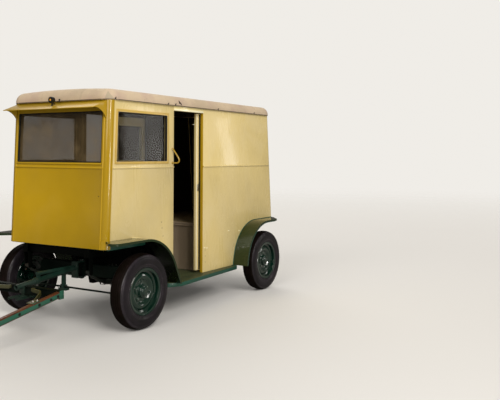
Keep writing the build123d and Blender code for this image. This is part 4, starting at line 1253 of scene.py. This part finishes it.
def hang(name, kind, spot, aim, **settings):
    """Hangs a lamp at a spot and points it along a direction."""
    data = bpy.data.lights.new(name, kind)
    for key, value in settings.items():
        setattr(data, key, value)
    lamp = bpy.data.objects.new(name, data)
    bpy.context.scene.collection.objects.link(lamp)
    lamp.location = spot
    lamp.rotation_euler = aim.to_track_quat("-Z", "Y").to_euler()


class WAGON_OT_stage(bpy.types.Operator):
    """Lay the pale floor, hang the soft lamps and set the camera"""

    bl_idname = "wagon.stage"
    bl_label = "Stage"

    def execute(self, context):
        scene = context.scene
        bm = bmesh.new()
        bmesh.ops.create_circle(bm, cap_ends=True, segments=96, radius=45.0)
        mesh = bpy.data.meshes.new("floor")
        bm.to_mesh(mesh)
        bm.free()
        ground = bpy.data.objects.new("floor", mesh)
        scene.collection.objects.link(ground)
        f = Finish("floor_pale")
        seen = f.node("ShaderNodeLightPath", {}, "Is Camera Ray")
        pale = f.node("ShaderNodeBsdfPrincipled", {}, Base_Color=BACKDROP, Roughness=0.7, Specular_IOR_Level=0.2)
        dim = f.node("ShaderNodeBsdfPrincipled", {}, Base_Color=BACKDROP_DIM, Roughness=0.7)
        clear = f.node("ShaderNodeBsdfTransparent")
        reach = f.node("ShaderNodeVectorMath", {"operation": "LENGTH"}, "Value", _0=f.place)
        f.close(f.blend(f.ramp(reach, 6.0, 30.0), f.blend(seen, dim, pale), clear))
        mesh.materials.append(f.material)

        world = bpy.data.worlds.new("studio")
        scene.world = world
        w = Shading(world)
        camera_ray, glossy_ray, clear_ray = [
            w.node("ShaderNodeLightPath", output=f"Is {ray} Ray") for ray in ("Camera", "Glossy", "Transmission")
        ]
        lit = w.node("ShaderNodeBackground", Color=(*DAYLIGHT, 1), Strength=DAYLIGHT_STRENGTH)
        lit = w.blend(glossy_ray, lit, w.node("ShaderNodeBackground", Color=SKY_GLOSS))
        seen = w.node("ShaderNodeBackground", Color=SKY)
        w.close(w.blend(w.math("MAXIMUM", camera_ray, clear_ray), lit, seen), "ShaderNodeOutputWorld")

        for name, way, share, spread in LAMPS:
            way = Vector(way)
            hang(name, "SUN", way * 6, -way, energy=sizes().key * share, angle=radians(spread), color=LAMP_COLOUR)
        for name, spot, wide, tall, power in PANELS:
            hang(
                name, "AREA", spot, -Vector((spot[0], spot[1], 0)), shape="RECTANGLE", size=wide, size_y=tall,
                energy=power, color=DAYLIGHT, spread=PANEL_SPREAD,
            )

        data = bpy.data.cameras.new("camera")
        camera = bpy.data.objects.new("camera", data)
        scene.collection.objects.link(camera)
        scene.camera = camera
        data.sensor_width = 36.0
        data.lens = CAMERA_LENS
        data.shift_y = CAMERA_SHIFT_Y
        turn, tilt, roll = CAMERA_TURN
        look = Vector((cos(turn) * cos(tilt), sin(turn) * cos(tilt), sin(tilt)))
        camera.location = CAMERA_AT + Vector((FRONT_X, 0, 0))
        camera.rotation_euler = (
            look.to_track_quat("-Z", "Y").to_matrix().to_4x4() @ Matrix.Rotation(roll, 4, "Z")
        ).to_euler()
        scene.view_settings.view_transform = "Standard"
        return {"FINISHED"}


OPERATORS = [
    WAGON_OT_finishes,
    WAGON_OT_body,
    WAGON_OT_roof,
    WAGON_OT_visor,
    WAGON_OT_windows,
    WAGON_OT_doors,
    WAGON_OT_fenders,
    WAGON_OT_gear,
    WAGON_OT_tyres,
    WAGON_OT_wheels,
    WAGON_OT_shafts,
    WAGON_OT_fittings,
    WAGON_OT_stage,
]


class WAGON_PT_sidebar(bpy.types.Panel):
    """Lists the wagon's colours and sizes, with a button for each step"""

    bl_idname = "WAGON_PT_sidebar"
    bl_label = "Milk wagon"
    bl_space_type = "VIEW_3D"
    bl_region_type = "UI"
    bl_category = "Wagon"

    def draw(self, context):
        column = self.layout.column()
        for group in (context.scene.wagon_colours, context.scene.wagon_sizes):
            for name in group.__annotations__:
                column.prop(group, name)
        for operator in OPERATORS:
            column.operator(operator.bl_idname)


CLASSES = [WagonColours, WagonSizes, *OPERATORS, WAGON_PT_sidebar]


def register():
    for one in CLASSES:
        bpy.utils.register_class(one)
    bpy.types.Scene.wagon_colours = PointerProperty(type=WagonColours)
    bpy.types.Scene.wagon_sizes = PointerProperty(type=WagonSizes)


def unregister():
    del bpy.types.Scene.wagon_sizes
    del bpy.types.Scene.wagon_colours
    for one in reversed(CLASSES):
        bpy.utils.unregister_class(one)


def main():
    register()
    for operator in OPERATORS:
        group, name = operator.bl_idname.split(".")
        getattr(getattr(bpy.ops, group), name)()


if __name__ == "__main__":
    main()
